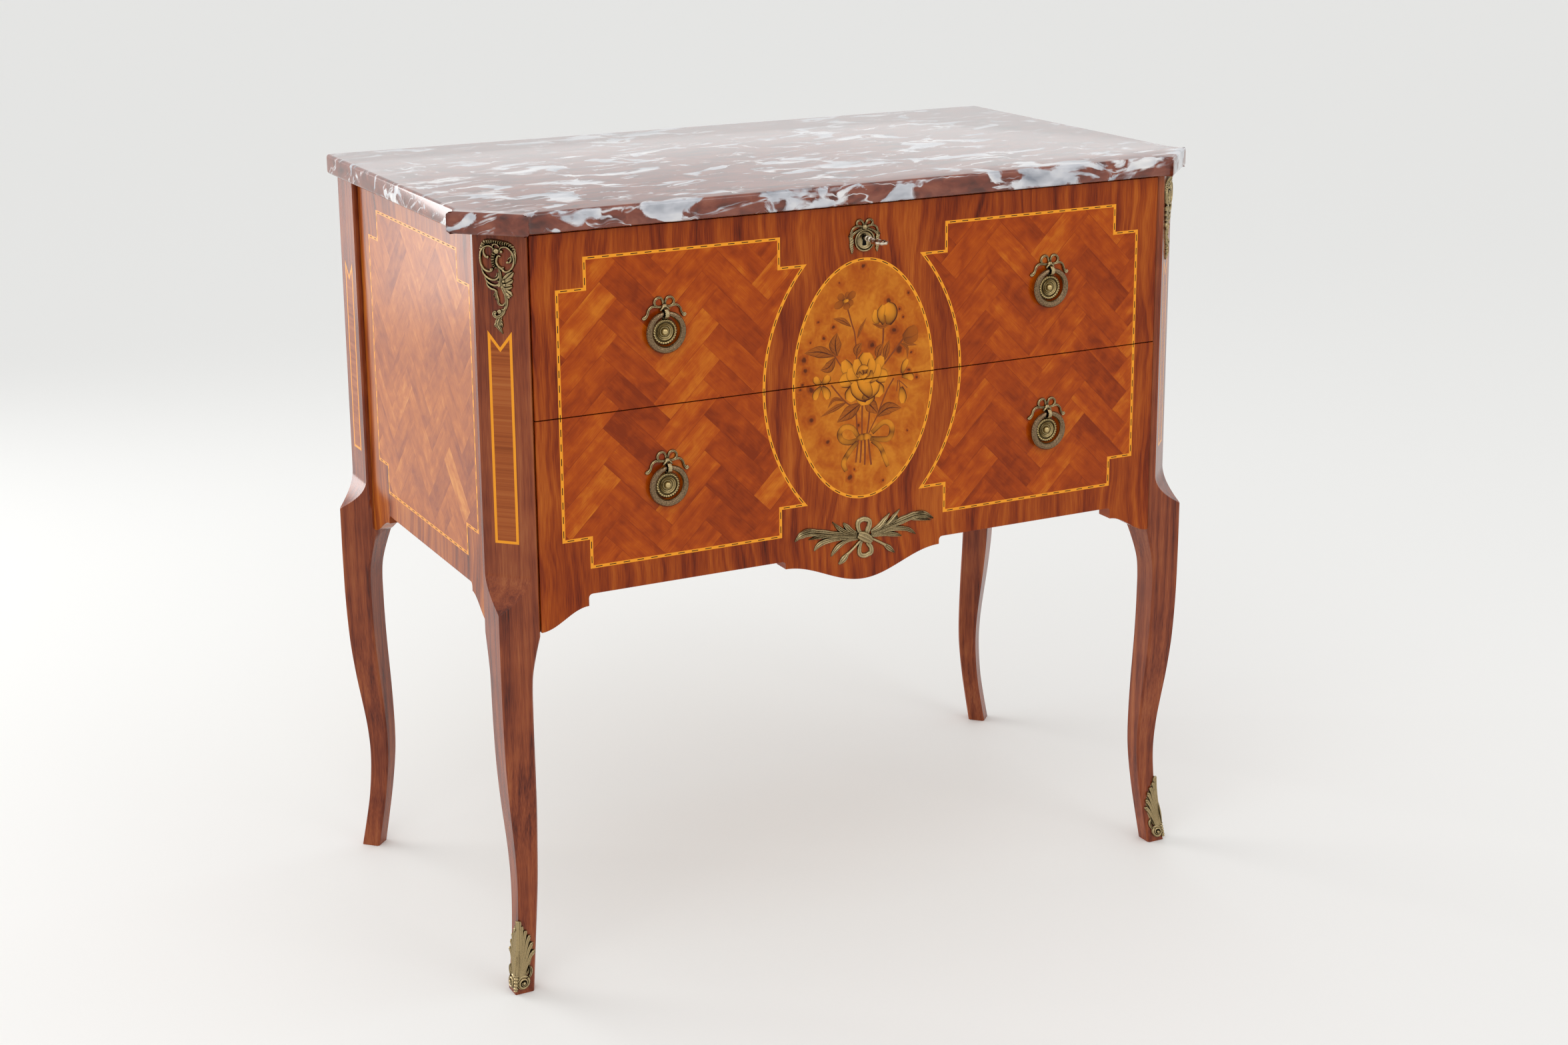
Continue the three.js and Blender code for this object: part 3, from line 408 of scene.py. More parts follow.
@dataclass(frozen=True)
class Burr(PolishedVeneer):
    """Honey-coloured burr: flowing clouds round small dark knots, under the same polish.

    A knot is its place across and up, and its size. Clouds are in millimetres, as are the pulls
    by which the fine ones bend a knot across and the wide ones bend it up. The heart's colour
    ends at its edge, a share of the size."""

    knots: tuple[Triple, ...] = ()
    heart: str = "4a1c08"
    wide_cloud: float = 38.0
    fine_cloud: float = 9.0
    bend_cloud: float = 7.0
    pull: Pair = (5.0, 9.0)
    heart_edge: float = 1.2

    def paint(self, tree: Tree, shader: Node) -> None:
        """Warped clouds that darken towards the nearest knot, with faint rings around it.

        Args:
            tree: the material's nodes.
            shader: its surface.
        """
        x, _, z = self.places(tree)
        at = (x, z / 1.2, 0.0)
        swirl = clouds(at, 4.0, 1.5, 1 / self.wide_cloud)
        fine = clouds(at, 3.0, 1.4, 1 / self.fine_cloud)
        bend = clouds(at, 2.0, 0.0, 1 / self.bend_cloud)
        links = {0: x + (bend - 0.5) * self.pull[0], 2: z + (swirl - 0.5) * self.pull[1]}
        spot = add(tree, "ShaderNodeCombineXYZ", links).outputs[0]
        near = None
        for across, up, size in self.knots:
            links = {0: spot, 1: (across, 0.0, up)}
            reach = add(tree, "ShaderNodeVectorMath", links, operation="DISTANCE").outputs["Value"]
            share = Field(reach) / size
            near = share if near is None else near.math("MINIMUM", share)
        fade = (near * -0.45).math("EXPONENT")
        rings = (near * 3.0).math("SINE") * fade
        core = ((self.heart_edge - near) * 1.8).held()
        shade = swirl * 0.6 + fine * 0.26 + 0.1 - fade * 0.26 + rings * 0.09
        self.coat(shader, shade, shade, (core * 0.85, core, ((0.0, self.heart), (1.0, self.heart))))


@dataclass(frozen=True)
class InlayWood(Finish):
    """Dyed or natural veneer let into the burr, scorched in hot sand along one edge.

    Scorch is the whole burn, side, root and outline say where it lies, veins and folds draw it
    as a leaf or a ribbon. A low shine, for the oval's polish is rubbed thin over it."""

    light: str = "d89440"
    dark: str = "6a3410"
    scorch: float = 0.7
    side: float = 0.6
    root: float = 0.9
    outline: float = 0.35
    veins: float = 0.0
    folds: float = 0.0

    def paint(self, tree: Tree, shader: Node) -> None:
        """Shade by the piece's own map: U runs from root to tip and V from edge to edge.

        Args:
            tree: the material's nodes.
            shader: its surface.
        """
        chart = add(tree, "ShaderNodeUVMap", {}).outputs[0]
        u, v = (Field(part) for part in add(tree, "ShaderNodeSeparateXYZ", {0: chart}).outputs[:2])
        x, _, z = self.places(tree)
        grain = clouds((x / GRAIN_WIDTH, z / GRAIN_LENGTH, 0.0))
        edge = (v - 0.5).math("ABSOLUTE") * 2.0
        burnt = v.math("POWER", 5.0) * self.side + (1.0 - u).math("POWER", 2.4) * self.root
        burnt = burnt + edge.math("POWER", 9.0) * self.outline + (grain - 0.5) * 0.2
        if self.veins:
            ribs = (u * 5.0 - edge * 1.3).math("FLOORED_MODULO", 1.0).under(0.1) * edge.under(0.85)
            burnt = burnt + edge.under(0.1).math("MAXIMUM", ribs * 0.6) * self.veins
        if self.folds:
            bend = (1.0 - (u - 0.48).math("ABSOLUTE") * 8.0).held()
            burnt = burnt + (bend * 0.8 + u.math("POWER", 7.0)) * self.folds
        dye(shader, (1.0, (burnt * self.scorch).held(), ((0.0, self.light), (1.0, self.dark))))
        wire(shader, {"Roughness": 0.2, "IOR": 1.5, "Specular IOR Level": 0.17})


@dataclass(frozen=True)
class PlanedOak(Finish):
    """Bare planed oak inside the case: dull, pale brown, with straight dark pores.

    Bands and pores are widths and lengths in millimetres."""

    light: str = "b0885c"
    dark: str = "8a6540"
    way: Way = Way.ACROSS
    band: Pair = (16.0, 420.0)
    pore: Pair = (1.1, 26.0)

    def paint(self, tree: Tree, shader: Node) -> None:
        """Broad bands and fine pores, drawn out along the board's length.

        Args:
            tree: the material's nodes.
            shader: its surface.
        """
        places = self.places(tree)
        along, across, z = places[self.way.value], places[1 - self.way.value], places[2]
        bands, pores = (clouds((along / length, across / width, z / width), detail, warp)
                        for (width, length), detail, warp in ((self.band, 4.0, 0.2), (self.pore, 1.0, 0.0)))
        streak = bands * 0.7 + pores * 0.3
        dye(shader, (1.0, streak, ((0.32, self.dark), (0.68, self.light))))
        wire(shader, {"Roughness": 0.68, "IOR": 1.45})
        self.bump(shader, streak, 0.1, 0.3)


@dataclass(frozen=True)
class RougeMarble(Finish):
    """Polished red-brown marble broken by white calcite and blue-grey shell patches.

    Chips, veins and the regions that have more or fewer of them are sizes in millimetres in X, Y
    and Z. Levels are where a cloud turns to chip or vein, and contrasts how sharply. In front of
    front_from the edge has a little more calcite."""

    red: Stops = ((0.3, "4a2015"), (0.5, "733523"), (0.75, "8f503a"))
    pale: Stops = ((0.25, "7d828c"), (0.5, "c3c4ca"), (0.75, "f2efec"))
    chip: Triple = (62.0, 34.0, 30.0)
    vein: Triple = (170.0, 40.0, 22.0)
    region: Triple = (190.0, 120.0, 120.0)
    warp_cloud: float = 60.0
    chip_level: float = 0.56
    vein_level: float = 0.49
    chip_contrast: float = 22.0
    vein_contrast: float = 34.0
    region_weight: float = 0.34
    front_from: float = -220.0
    front_calcite: float = 0.06

    def paint(self, tree: Tree, shader: Node) -> None:
        """Streaky warped clouds: their high parts are pale patches, thin level lines are veins.
        Wider clouds, and the front edge, raise or lower how much of both there is.

        Args:
            tree: the material's nodes.
            shader: its surface.
        """
        x, y, z = self.places(tree)
        warp = clouds((x, y, z), 3.0, 0.0, 1 / self.warp_cloud)
        (cx, cy, cz), (vx, vy, vz), (rx, ry, rz) = self.chip, self.vein, self.region
        at = (x / cx + warp * 1.5, y / cy + warp * 1.1, z / cz)
        chips = clouds(at, 7.0, 0.9)
        body = clouds(at, 4.0, 0.4, 2.3)
        tint = clouds(at, 3.0, 0.0, 1.4)
        lines = clouds((x / vx + warp * 1.6, y / vy + z / vz + warp * 2.2, 4.0), 3.0, 0.6)
        veins = (1.0 - (lines - 0.5).math("ABSOLUTE") * self.vein_contrast).held()
        region = (clouds((x / rx, y / ry, z / rz + 5.0)) - 0.5) * self.region_weight
        region = region + ((self.front_from - y) / 6.0).held() * self.front_calcite
        where = ((tint - self.vein_level + region) * 9.0).held()
        patches = ((chips - self.chip_level + region) * self.chip_contrast).held()
        dye(shader, (1.0, body, self.red), (patches.math("MAXIMUM", veins * where), tint, self.pale))
        wire(shader, {"Roughness": 0.12, "IOR": 1.5, "Coat Weight": 0.3, "Coat Roughness": 0.05})


@dataclass(frozen=True)
class CastMetal(Finish):
    """Sand-cast metal: rubbed bright on its high places and dark with old wax in its hollows, both painted as
    light and shade from occlusion.

    Wax_and_shade is how much of it stays dark, as old wax and painted shade, and mottle how unevenly. In
    millimetres, crevice is how deep a hollow still gets the wax and the painted shade, grit how high the skin's
    grains are and grain how wide."""

    bright: str = "b39a62"
    dark: str = "453a22"
    rough: float = 0.3
    mottle: float = 0.6
    wax_and_shade: float = 1.08
    grit: float = 0.25
    crevice: float = 3.6
    grain: float = 1.6

    def paint(self, tree: Tree, shader: Node) -> None:
        """Occlusion paints shade into the hollows and light onto the crests, a fine noise mottles the skin.

        Args:
            tree: the material's nodes.
            shader: its surface.
        """
        skin = clouds(self.places(tree), 3.0, 0.0, 1 / self.grain)
        links = {"Distance": self.crevice * MM}
        # Painted shade and light: occlusion sets the colour, dark in the hollows and bright on the crests.
        hollow = Field(add(tree, "ShaderNodeAmbientOcclusion", links, samples=6).outputs["AO"])
        share = (hollow * 2.2 - self.wax_and_shade + (skin - 0.5) * self.mottle).held()
        dye(shader, (1.0, share, ((0.0, self.dark), (1.0, self.bright))))
        wire(shader, {"Metallic": 1.0, "Roughness": self.rough})
        self.bump(shader, skin, self.grit, 0.5)


@dataclass(frozen=True)
class Plain(Finish):
    """A dull stain or shadowed hole; least is how dark its faint mottle goes, in patches of
    a few millimetres."""

    code: str
    rough: float = 0.5
    least: float = 0.7
    patch: float = 3.0

    def paint(self, tree: Tree, shader: Node) -> None:
        """A mottle of a few percent over one colour.

        Args:
            tree: the material's nodes.
            shader: its surface.
        """
        patches = clouds(self.places(tree), 2.0, 0.0, 1 / self.patch)
        dye(shader, (1.0, patches * (1 - self.least) + self.least, ((0.0, "000000"), (1.0, self.code))))
        wire(shader, {"Roughness": self.rough, "Specular IOR Level": 0.15})


BURR_KNOTS = (
    (-1, 751, 2.2), (30, 711, 3), (43.5, 700, 1.6), (48, 691, 1.4), (37, 676, 2.6), (-37, 689, 2),
    (-49, 678, 2), (-56, 695, 1), (-65, 674, 1), (-73, 656, 3.2), (-71, 644, 2.8), (-75, 629, 1.6),
    (-78, 624, 1.6), (-64, 622, 3), (10, 662, 2.6), (43.5, 655, 4), (59, 651, 1.6), (56, 632, 2),
    (66, 622, 1.8), (-64, 589, 2.6), (-44.5, 563, 2.6), (-17, 519.5, 3), (-11, 528, 1.2), (23.5, 510, 1.2),
    (54, 563, 1.2), (55, 716, 1.6), (-6.5, 577, 2), (44, 745, 1.2), (-30, 735, 1),
)

# Kingwood stands upright on the front and sides: violet-brown stripes that read red under polish.
KINGWOOD = PolishedVeneer("kingwood_veneer_upright", (
    (0.33, "431204"), (0.43, "782a08"), (0.53, "96400c"), (0.65, "b05a18")))
# Painted reflection: the side's colours are lighter than the front's, for the haze of grazing light on the side.
KINGWOOD_SIDE = PolishedVeneer("kingwood_veneer_side", (
    (0.33, "481a08"), (0.43, "803810"), (0.53, "a05016"), (0.65, "ba6c24")), Way.DEEP)
# Rosewood on the posts is darker and shines more, since their edges are burnished.
ROSEWOOD_POST = TurnedVeneer("rosewood_veneer_post", (
    (0.34, "3a1005"), (0.43, "6a2a12"), (0.54, "87401f"), (0.7, "a05a30")),
    stripe=7.0, shine=0.32, gloss=0.17)
# Tulipwood strips give the panels their orange, each strip lit another way by its grain, painted as a darker
# shade on the falling strips.
FRONT_PARQUETRY = Parquetry("tulipwood_parquetry_front", (
    (0.33, "7e2c04"), (0.45, "9c3d06"), (0.54, "ae4c08"), (0.68, "c87018")),
    stripe=14.0, stripe_length=120.0, sway=10.0)
SIDE_PARQUETRY = Parquetry("tulipwood_parquetry_side", (
    (0.33, "8a3c10"), (0.45, "a65418"), (0.54, "b8651f"), (0.68, "d28838")), Way.DEEP,
    stripe=14.0, stripe_length=120.0, sway=10.0)
CROSS_BAND = CrossVeneer("tulipwood_cross_banding", (
    (0.3, "6e3012"), (0.5, "9c5024"), (0.72, "b36c38")), stripe=4.0, stripe_length=60.0, sway=3.0)
# Burr has no grain, only honey clouds, so the flowers on it stand out.
BURR = Burr("honey_burr_veneer", (
    (0.24, "883a06"), (0.4, "a84e08"), (0.5, "b66010"), (0.64, "c8781c")), knots=BURR_KNOTS)
# Boxwood is dense and without figure: an even yellow line, with black pearwood for the dashes.
BOXWOOD = InlayWood("boxwood_string", light="ec9826", dark="a8601a", scorch=0.2)
BLACK_DASH = Plain("black_dyed_pearwood", "24140a")
# Flowers of pale woods, shaded by scorching alone, so each blade fades from brown to yellow.
PETAL = InlayWood("scorched_holly_petal", "dc8a1e", "4a1e08", 0.9, 0.8, 1.0, 0.9)
LEAF = InlayWood("stained_pearwood_leaf", "a05414", "42190a", 0.9, 0.35, 0.4, 0.9, veins=0.9)
STEM = InlayWood("scorched_stem", "84401a", "56260c", 0.8, 0.4, 0.3)
PALE_PETAL = InlayWood("smoked_pearwood_petal", "a0520f", "5c2a0c", 0.8, 0.3, outline=0.6)
RIBBON = InlayWood("scorched_maple_ribbon", "d6841c", "4a1e08", 0.95, 0.5, 0.8, 0.5, folds=0.7)
# Planed oak where nobody looks, with its grain along each board.
OAK = PlanedOak("planed_oak")
OAK_DEEP = PlanedOak("planed_oak_front_to_back", way=Way.DEEP)
# Marble has the sharpest gloss on the chest.
MARBLE = RougeMarble("rouge_marble")
# Old unlacquered castings: brown in the hollows with old wax and painted shade, a dull yellow where hands and
# cloths reach and painted light falls.
BRASS = CastMetal("aged_cast_brass", "ac9870", "1c130a", 0.27, 1.0, 1.18)
RING_BRASS = CastMetal("ring_brass", "8a7256", "1c130b", 0.2, 1.9, 1.4, 0.12)
ROSETTE_BRASS = CastMetal("rosette_brass", "bca674", "2e2312", 0.28)
# The key has lost most of its plating and spots grey; the lock is plain dark iron.
NICKEL = CastMetal("worn_nickel", "c4b8a4", "2c241c", 0.24, 2.4)
IRON = CastMetal("lock_iron", "77736c", "38332c", 0.45)
# No light comes back out of the keyhole.
HOLE = Plain("shadowed_keyhole", "0c0907", 0.9)


def smooth_path(points: Line, count: int, closed: bool = False) -> Array:
    """Curve through points, each span a cubic whose slopes join the neighbours (Catmull-Rom).

    Args:
        points: the places to pass through.
        count: how many places come back.
        closed: whether the curve runs round to its start.

    Returns:
        The places, spaced evenly in the spans' own parameter.
    """
    given = np.asarray(points, float)
    if closed:
        padded = np.vstack([given[-1:], given, given[:2]])
    else:
        padded = np.vstack([2 * given[:1] - given[1:2], given, 2 * given[-1:] - given[-2:-1]])
    spans = len(padded) - 3
    t = np.linspace(0, spans, count, endpoint=not closed)
    index = np.minimum(t.astype(int), spans - 1)
    f = (t - index)[:, None]
    p0, p1, p2, p3 = (padded[index + k] for k in range(4))
    return 0.5 * (2 * p1 + (p2 - p0) * f + (2 * p0 - 5 * p1 + 4 * p2 - p3) * f**2
                  + (3 * p1 - p0 - 3 * p2 + p3) * f**3)


def eased(values: Sequence[float], count: int) -> Array:
    """Smooth run of numbers through a few given ones."""
    return smooth_path(np.reshape(values, (-1, 1)), count)[:, 0]


def turns(count: int) -> Array:
    """Angles spaced evenly round a circle."""
    return np.linspace(0, TURN, count, endpoint=False)


def rim(angle: Array) -> Array:
    """Cosine and sine of each angle, side by side."""
    return np.stack([np.cos(angle), np.sin(angle)], axis=-1)


def unit(ways: Array) -> Array:
    """Directions cut to a length of one."""
    return ways / np.maximum(np.linalg.norm(ways, axis=1, keepdims=True), 1e-9)


def tangents(line: Array, closed: bool = False) -> Array:
    """Unit directions along a line of places."""
    along = np.roll(line, -1, axis=0) - np.roll(line, 1, axis=0) if closed else np.gradient(line, axis=0)
    return unit(along)


@dataclass
class Shell:
    """A closed surface: places in metres, faces by place, and which finish of its piece it has."""

    points: Array
    faces: list[Array]
    finish: int = 0
    chart: Array | None = None

    def mirrored(self) -> "Shell":
        """The same surface on the other side of the middle plane."""
        return Shell(self.points * (-1, 1, 1), [f[:, ::-1] for f in self.faces], self.finish, self.chart)

    def dressed(self, finish: int) -> "Shell":
        """The same surface with another finish of its piece."""
        return Shell(self.points, self.faces, finish, self.chart)


def hands(first: str, shells: Sequence[Shell]) -> list[tuple[str, list[Shell]]]:
    """The shells by the side of the chest they are on: first as drawn, then mirrored."""
    other = "left" if first == "right" else "right"
    return [(first, list(shells)), (other, [shell.mirrored() for shell in shells])]


def loft(rings: Array, closed: bool = False, chart: Array | None = None) -> Shell:
    """Skin over rings of places, with flat ends unless the rings run round in a circle.

    Args:
        rings: (ring, place, 3) array in metres.
        closed: whether the last ring joins the first.
        chart: (ring, place, 2) map of the surface.

    Returns:
        A closed shell.
    """
    count, sides = rings.shape[:2]
    i = np.arange(count if closed else count - 1)[:, None] * sides
    i2 = (i + sides) % (count * sides)
    j = np.arange(sides)[None]
    j2 = (j + 1) % sides
    faces = [np.stack([i + j, i + j2, i2 + j2, i2 + j], axis=-1).reshape(-1, 4)]
    if not closed:
        faces += [j[:, ::-1], j + (count - 1) * sides]
    return Shell(rings.reshape(-1, 3), faces, 0, None if chart is None else chart.reshape(-1, 2))


Placer = Callable[[Array, Array, Array], Array]


@dataclass(frozen=True)
class Plane:
    """A face of the chest to draw on: its zero in metres and the ways across, up and out."""

    origin: Triple
    across: Triple
    up: Triple
    out: Triple

    def place(self, u: Array, v: Array, h: Array) -> Array:
        """Places at u across, v up and h out, all in millimetres.

        Args:
            u: across.
            v: up.
            h: out.

        Returns:
            The places in metres.
        """
        given = np.broadcast_arrays(u, v, h)
        ways = (np.array(way, float) for way in (self.across, self.up, self.out))
        return np.array(self.origin) + MM * sum(c[..., None] * way for c, way in zip(given, ways))


@dataclass(frozen=True)
class Carving:
    """How the back of a cast strip is worked: its crown in millimetres, and what is cut into it
    as shares of that. Ends are shares of the crown along the line, count and across the places
    along and across it."""

    crown: float = 2.6
    vein: float = 0.0
    ribs: float = 0.0
    rib_count: float = 8.0
    scallop: float = 0.0
    reeds: int = 0
    ends: tuple[float, ...] = (0.7, 1.0, 1.0, 0.75)
    count: int = 34
    across: int = 9


STRIP = Carving()
BAND = Carving(2.4, vein=0.3, across=11)
RIBBED = Carving(3.8, ribs=0.46, rib_count=9, count=90)
CREST = Carving(3.2, ribs=0.5, rib_count=21, count=150)
BLADE = Carving(2.6, vein=0.35, ends=(0.6, 1.0, 1.1, 0.5), across=11)
PETALLED = Carving(3.0, vein=0.45, ends=(0.5, 0.9, 1.1, 0.7), count=30, across=11)
FROND = Carving(3.0, reeds=4, scallop=0.06, rib_count=5, ends=(0.6, 0.9, 1.1, 1.0, 0.4), count=60, across=25)
LEAFLET = Carving(2.6, reeds=3, ends=(0.5, 0.9, 1.1, 0.9, 0.4), count=40, across=19)
TASSEL = Carving(2.6, vein=0.3, ribs=0.28, rib_count=9, scallop=0.07, count=80, across=11)
KNOT = Carving(4.2, reeds=3, ends=(0.6, 0.9, 1.0, 0.9, 0.6), count=30, across=25)
FLUTE = Carving(2.2, vein=0.25, ends=(0.5, 0.8, 1.0, 1.35, 0.9), count=30, across=11)

# Millimetres and shares that no strip gets under, the radius past which turned forms are fluted,
# and how far a veneer panel stands proud of its board.
LEAST_WIDTH, LEAST_CROWN = 0.4, 0.25
FLUTE_FROM = 0.5
PANEL_PROUD = 0.03
# A vein's half width and a reed's depth, as shares of the strip's own, how many ribs the edges lag
# behind the middle, and the depth of ribs from which they run straight across.
VEIN_WIDTH, REED_DEPTH = 0.22, 0.36
RIB_LAG, STRAIGHT_FROM = 0.9, 0.45


def swept(place: Placer, line: Array, offset: Array, height: Array, t: Array) -> Shell:
    """Skin over a line on a face.

    Args:
        place: puts across, up and out values on the face.
        line: the line's places.
        offset: how far each place of the skin lies to the line's left, by step and place.
        height: how high it lies over the face.
        t: the places' shares across the line, from -1 to 1.

    Returns:
        A closed shell, mapped from root to tip and from edge to edge.
    """
    along = tangents(line)
    u = line[:, :1] - along[:, 1:] * offset
    v = line[:, 1:] + along[:, :1] * offset
    share = np.linspace(0, 1, len(line))[:, None]
    chart = np.stack(np.broadcast_arrays(share, (t[None] + 1) / 2), axis=-1)
    return loft(place(u, v, np.broadcast_to(height, u.shape)), chart=chart)


def relief(place: Placer, points: Line, widths: Sequence[float], work: Carving = STRIP,
           base: float = 0.1) -> Shell:
    """Cast leaf or ribbon: a line with a rounded back that stands on a face.

    Across the line, the height is the crown times the square root of one minus the square of the
    share from middle to edge. A vein sinks the middle, reeds run along, ribs wave the height along
    the line and slant towards the edges, and scallops wave the width.

    Args:
        place: puts across, up and out values on the face.
        points: the line's places.
        widths: full widths along the line, at even shares.
        work: height and cuts.
        base: height of the flat back over the face.

    Returns:
        A closed shell.
    """
    line = smooth_path(np.reshape(points, (-1, 2)), work.count)
    share = np.linspace(0, 1, work.count)
    width = np.maximum(eased(widths, work.count), LEAST_WIDTH)
    crown = work.crown * np.maximum(eased(work.ends, work.count), LEAST_CROWN)
    t = np.linspace(-1, 1, work.across)
    offset = (width * (1 + work.scallop * np.cos(TURN * work.rib_count * share)) / 2)[:, None] * t
    height = np.sqrt(np.maximum(1 - t**2, 0)) * (1 - work.vein * np.exp(-((t / VEIN_WIDTH) ** 2)))
    if work.reeds:
        height = height * (1 - REED_DEPTH * (0.5 + 0.5 * np.cos(math.pi * work.reeds * (t + 1))))
    lag = RIB_LAG if work.ribs < STRAIGHT_FROM else 0.0
    phase = work.rib_count * share[:, None] - lag * np.abs(t)
    height = height * (1 - work.ribs * (0.5 + 0.5 * np.cos(TURN * phase)))
    return swept(place, line, offset, base + crown[:, None] * height, t)


def flat_blade(place: Placer, points: Line, widths: Sequence[float], proud: float, depth: float = 0.5,
               count: int = 18, across: int = 7) -> Shell:
    """Slab of veneer that follows a line from its root to its tip.

    Args:
        place: puts across, up and out values on the face.
        points: the line's places, root first.
        widths: full widths along the line, at even shares.
        proud: height of its face over the board.
        depth: how deep it is let in.
        count: steps along the line.
        across: places across it.

    Returns:
        A closed shell.
    """
    t = np.concatenate([[-1], np.linspace(-1, 1, across), [1]])
    height = np.concatenate([[-depth], np.full(across, proud), [-depth]])
    line = smooth_path(np.reshape(points, (-1, 2)), count)
    return swept(place, line, (eased(widths, count) / 2)[:, None] * t, height, t)


def inlay(place: Placer, outline: Array, proud: float, depth: float = 0.6) -> Shell:
    """Thin slab cut to an outline, let into a face and standing a hair proud of it."""
    return loft(np.stack([place(*outline.T, np.full(len(outline), h)) for h in (-depth, proud)]))


def lathe(profile: Sequence[float], centre: Pair, segments: int = 64,
          place: Placer | None = None, flutes: int = 0, flute_depth: float = 0.0) -> Shell:
    """Turned form that stands on a face: radius and reach pairs carried round its axis.

    Flutes wave the reach by the cosine of the angle times their number, away from the axis.

    Args:
        profile: radius and reach of each ring in turn.
        centre: where the axis meets the face.
        segments: places round a ring.
        place: puts across, up and out values on the face, and on the front where none is given.
        flutes: how many there are.
        flute_depth: how deep they are cut.

    Returns:
        A closed shell.
    """
    radius, reach = np.reshape(profile, (-1, 2)).T[..., None]
    angle = turns(segments)
    wave = flute_depth * (0.5 - 0.5 * np.cos(flutes * angle)) * (radius > FLUTE_FROM)
    u, v = (c + radius * way for c, way in zip(centre, rim(angle).T))
    return loft((place or FRONT.place)(u, v, reach - wave))


def tube(centres: Array, radii: Array, flat: Sequence[float], sides: int = 10,
         closed: bool = False) -> Shell:
    """Round bar along a line: circles square to it, with one axis of each along the flat way.

    Args:
        centres: places of the line, in metres.
        radii: radius at each place, or at each place and side.
        flat: the way that every circle's second axis is square to.
        sides: places round a circle.
        closed: whether the line runs round to its start.

    Returns:
        A closed shell.
    """
    along = tangents(centres, closed)
    side = unit(np.cross(along, flat))
    axes = (side, np.cross(along, side))
    size = radii if np.ndim(radii) == 2 else np.broadcast_to(radii, len(centres))[:, None]
    return loft(centres[:, None] + sum((size * way)[..., None] * axis[:, None]
                                       for way, axis in zip(rim(turns(sides)).T, axes)), closed=closed)


def oval_radii(across: float | Array, deep: float | Array, sides: int) -> Array:
    """An ellipse's radii at even angles: one over the root of (cos / across)^2 + (sin / deep)^2."""
    cosine, sine = rim(turns(sides)).T
    return 1 / np.sqrt((cosine / across) ** 2 + (sine / deep) ** 2)


def offset_line(line: Array, distance: float, closed: bool) -> Array:
    """Line moved sideways with its corners mitred: each place moves along the sum of its two
    edges' normals over one plus their dot product.

    Args:
        line: places across and up.
        distance: how far it moves to its left.
        closed: whether it runs round to its start.

    Returns:
        The moved places.
    """
    ahead = np.roll(line, -1, axis=0) - line
    if not closed:
        ahead[-1] = ahead[-2]
    ahead = unit(ahead)
    behind = np.roll(ahead, 1, axis=0)
    if not closed:
        behind[0] = ahead[0]
    n1, n2 = (np.stack([-way[:, 1], way[:, 0]], axis=1) for way in (ahead, behind))
    return line + (n1 + n2) / np.maximum(1 + (n1 * n2).sum(axis=1, keepdims=True), 0.2) * distance


@dataclass(frozen=True)
class Stringing:
    """Boxwood line let into the veneer, with or without black dashes along its middle."""

    width: float = 3.3
    proud: float = 0.05
    depth: float = 0.6
    dash_length: float = 7.5
    dash_width: float = 0.95
    pitch: float = 15.3
    dash_proud: float = 0.07

    def line(self, place: Placer, legs: Sequence[Array]) -> Shell:
        """The boxwood itself, round a closed outline made of legs.

        Args:
            place: puts across, up and out values on the face.
            legs: straight or curved lengths of the outline.

        Returns:
            A closed shell.
        """
        path = np.vstack([leg[:-1] for leg in legs])
        inner, outer = (offset_line(path, side * self.width / 2, True) for side in (1, -1))
        corners = ((inner, -self.depth), (inner, self.proud), (outer, self.proud), (outer, -self.depth))
        rings = np.stack([place(*edge.T, np.full(len(path), h)) for edge, h in corners], axis=1)
        return loft(rings, closed=True, chart=np.full((*rings.shape[:2], 2), (0.8, 0.5)))

    def dashes(self, place: Placer, legs: Sequence[Array]) -> list[Shell]:
        """Dashes spaced evenly on each leg, in the second finish.

        Args:
            place: puts across, up and out values on the face.
            legs: straight or curved lengths of the line.

        Returns:
            A slab for each dash.
        """
        made = []
        for leg in legs:
            reach = np.concatenate([[0], np.cumsum(np.linalg.norm(np.diff(leg, axis=0), axis=1))])
            count = max(1, round(reach[-1] / self.pitch))
            for middle in (np.arange(count) + 0.5) * reach[-1] / count:
                s = np.clip(middle + np.linspace(-0.5, 0.5, 4) * self.dash_length, 0, reach[-1])
                line = np.stack([np.interp(s, reach, leg[:, k]) for k in (0, 1)], axis=1)
                edge, back = (offset_line(line, side * self.dash_width / 2, False) for side in (1, -1))
                outline = np.vstack([edge, back[::-1]])
                made.append(inlay(place, outline, self.dash_proud, self.depth).dressed(1))
        return made

    def dashed(self, place: Placer, legs: Sequence[Array]) -> list[Shell]:
        """The line and its dashes."""
        return [self.line(place, legs), *self.dashes(place, legs)]


def legs_round(corners: Line) -> list[Array]:
    """Straight lengths from each corner to the next, and back to the first."""
    ring = np.array([*corners, corners[0]], float)
    return [ring[i : i + 2] for i in range(len(corners))]


def panel_of(legs: Sequence[Array], place: Placer) -> Shell:
    """Veneer panel inside a closed outline made of legs."""
    return inlay(place, np.vstack([leg[:-1] for leg in legs]), PANEL_PROUD)


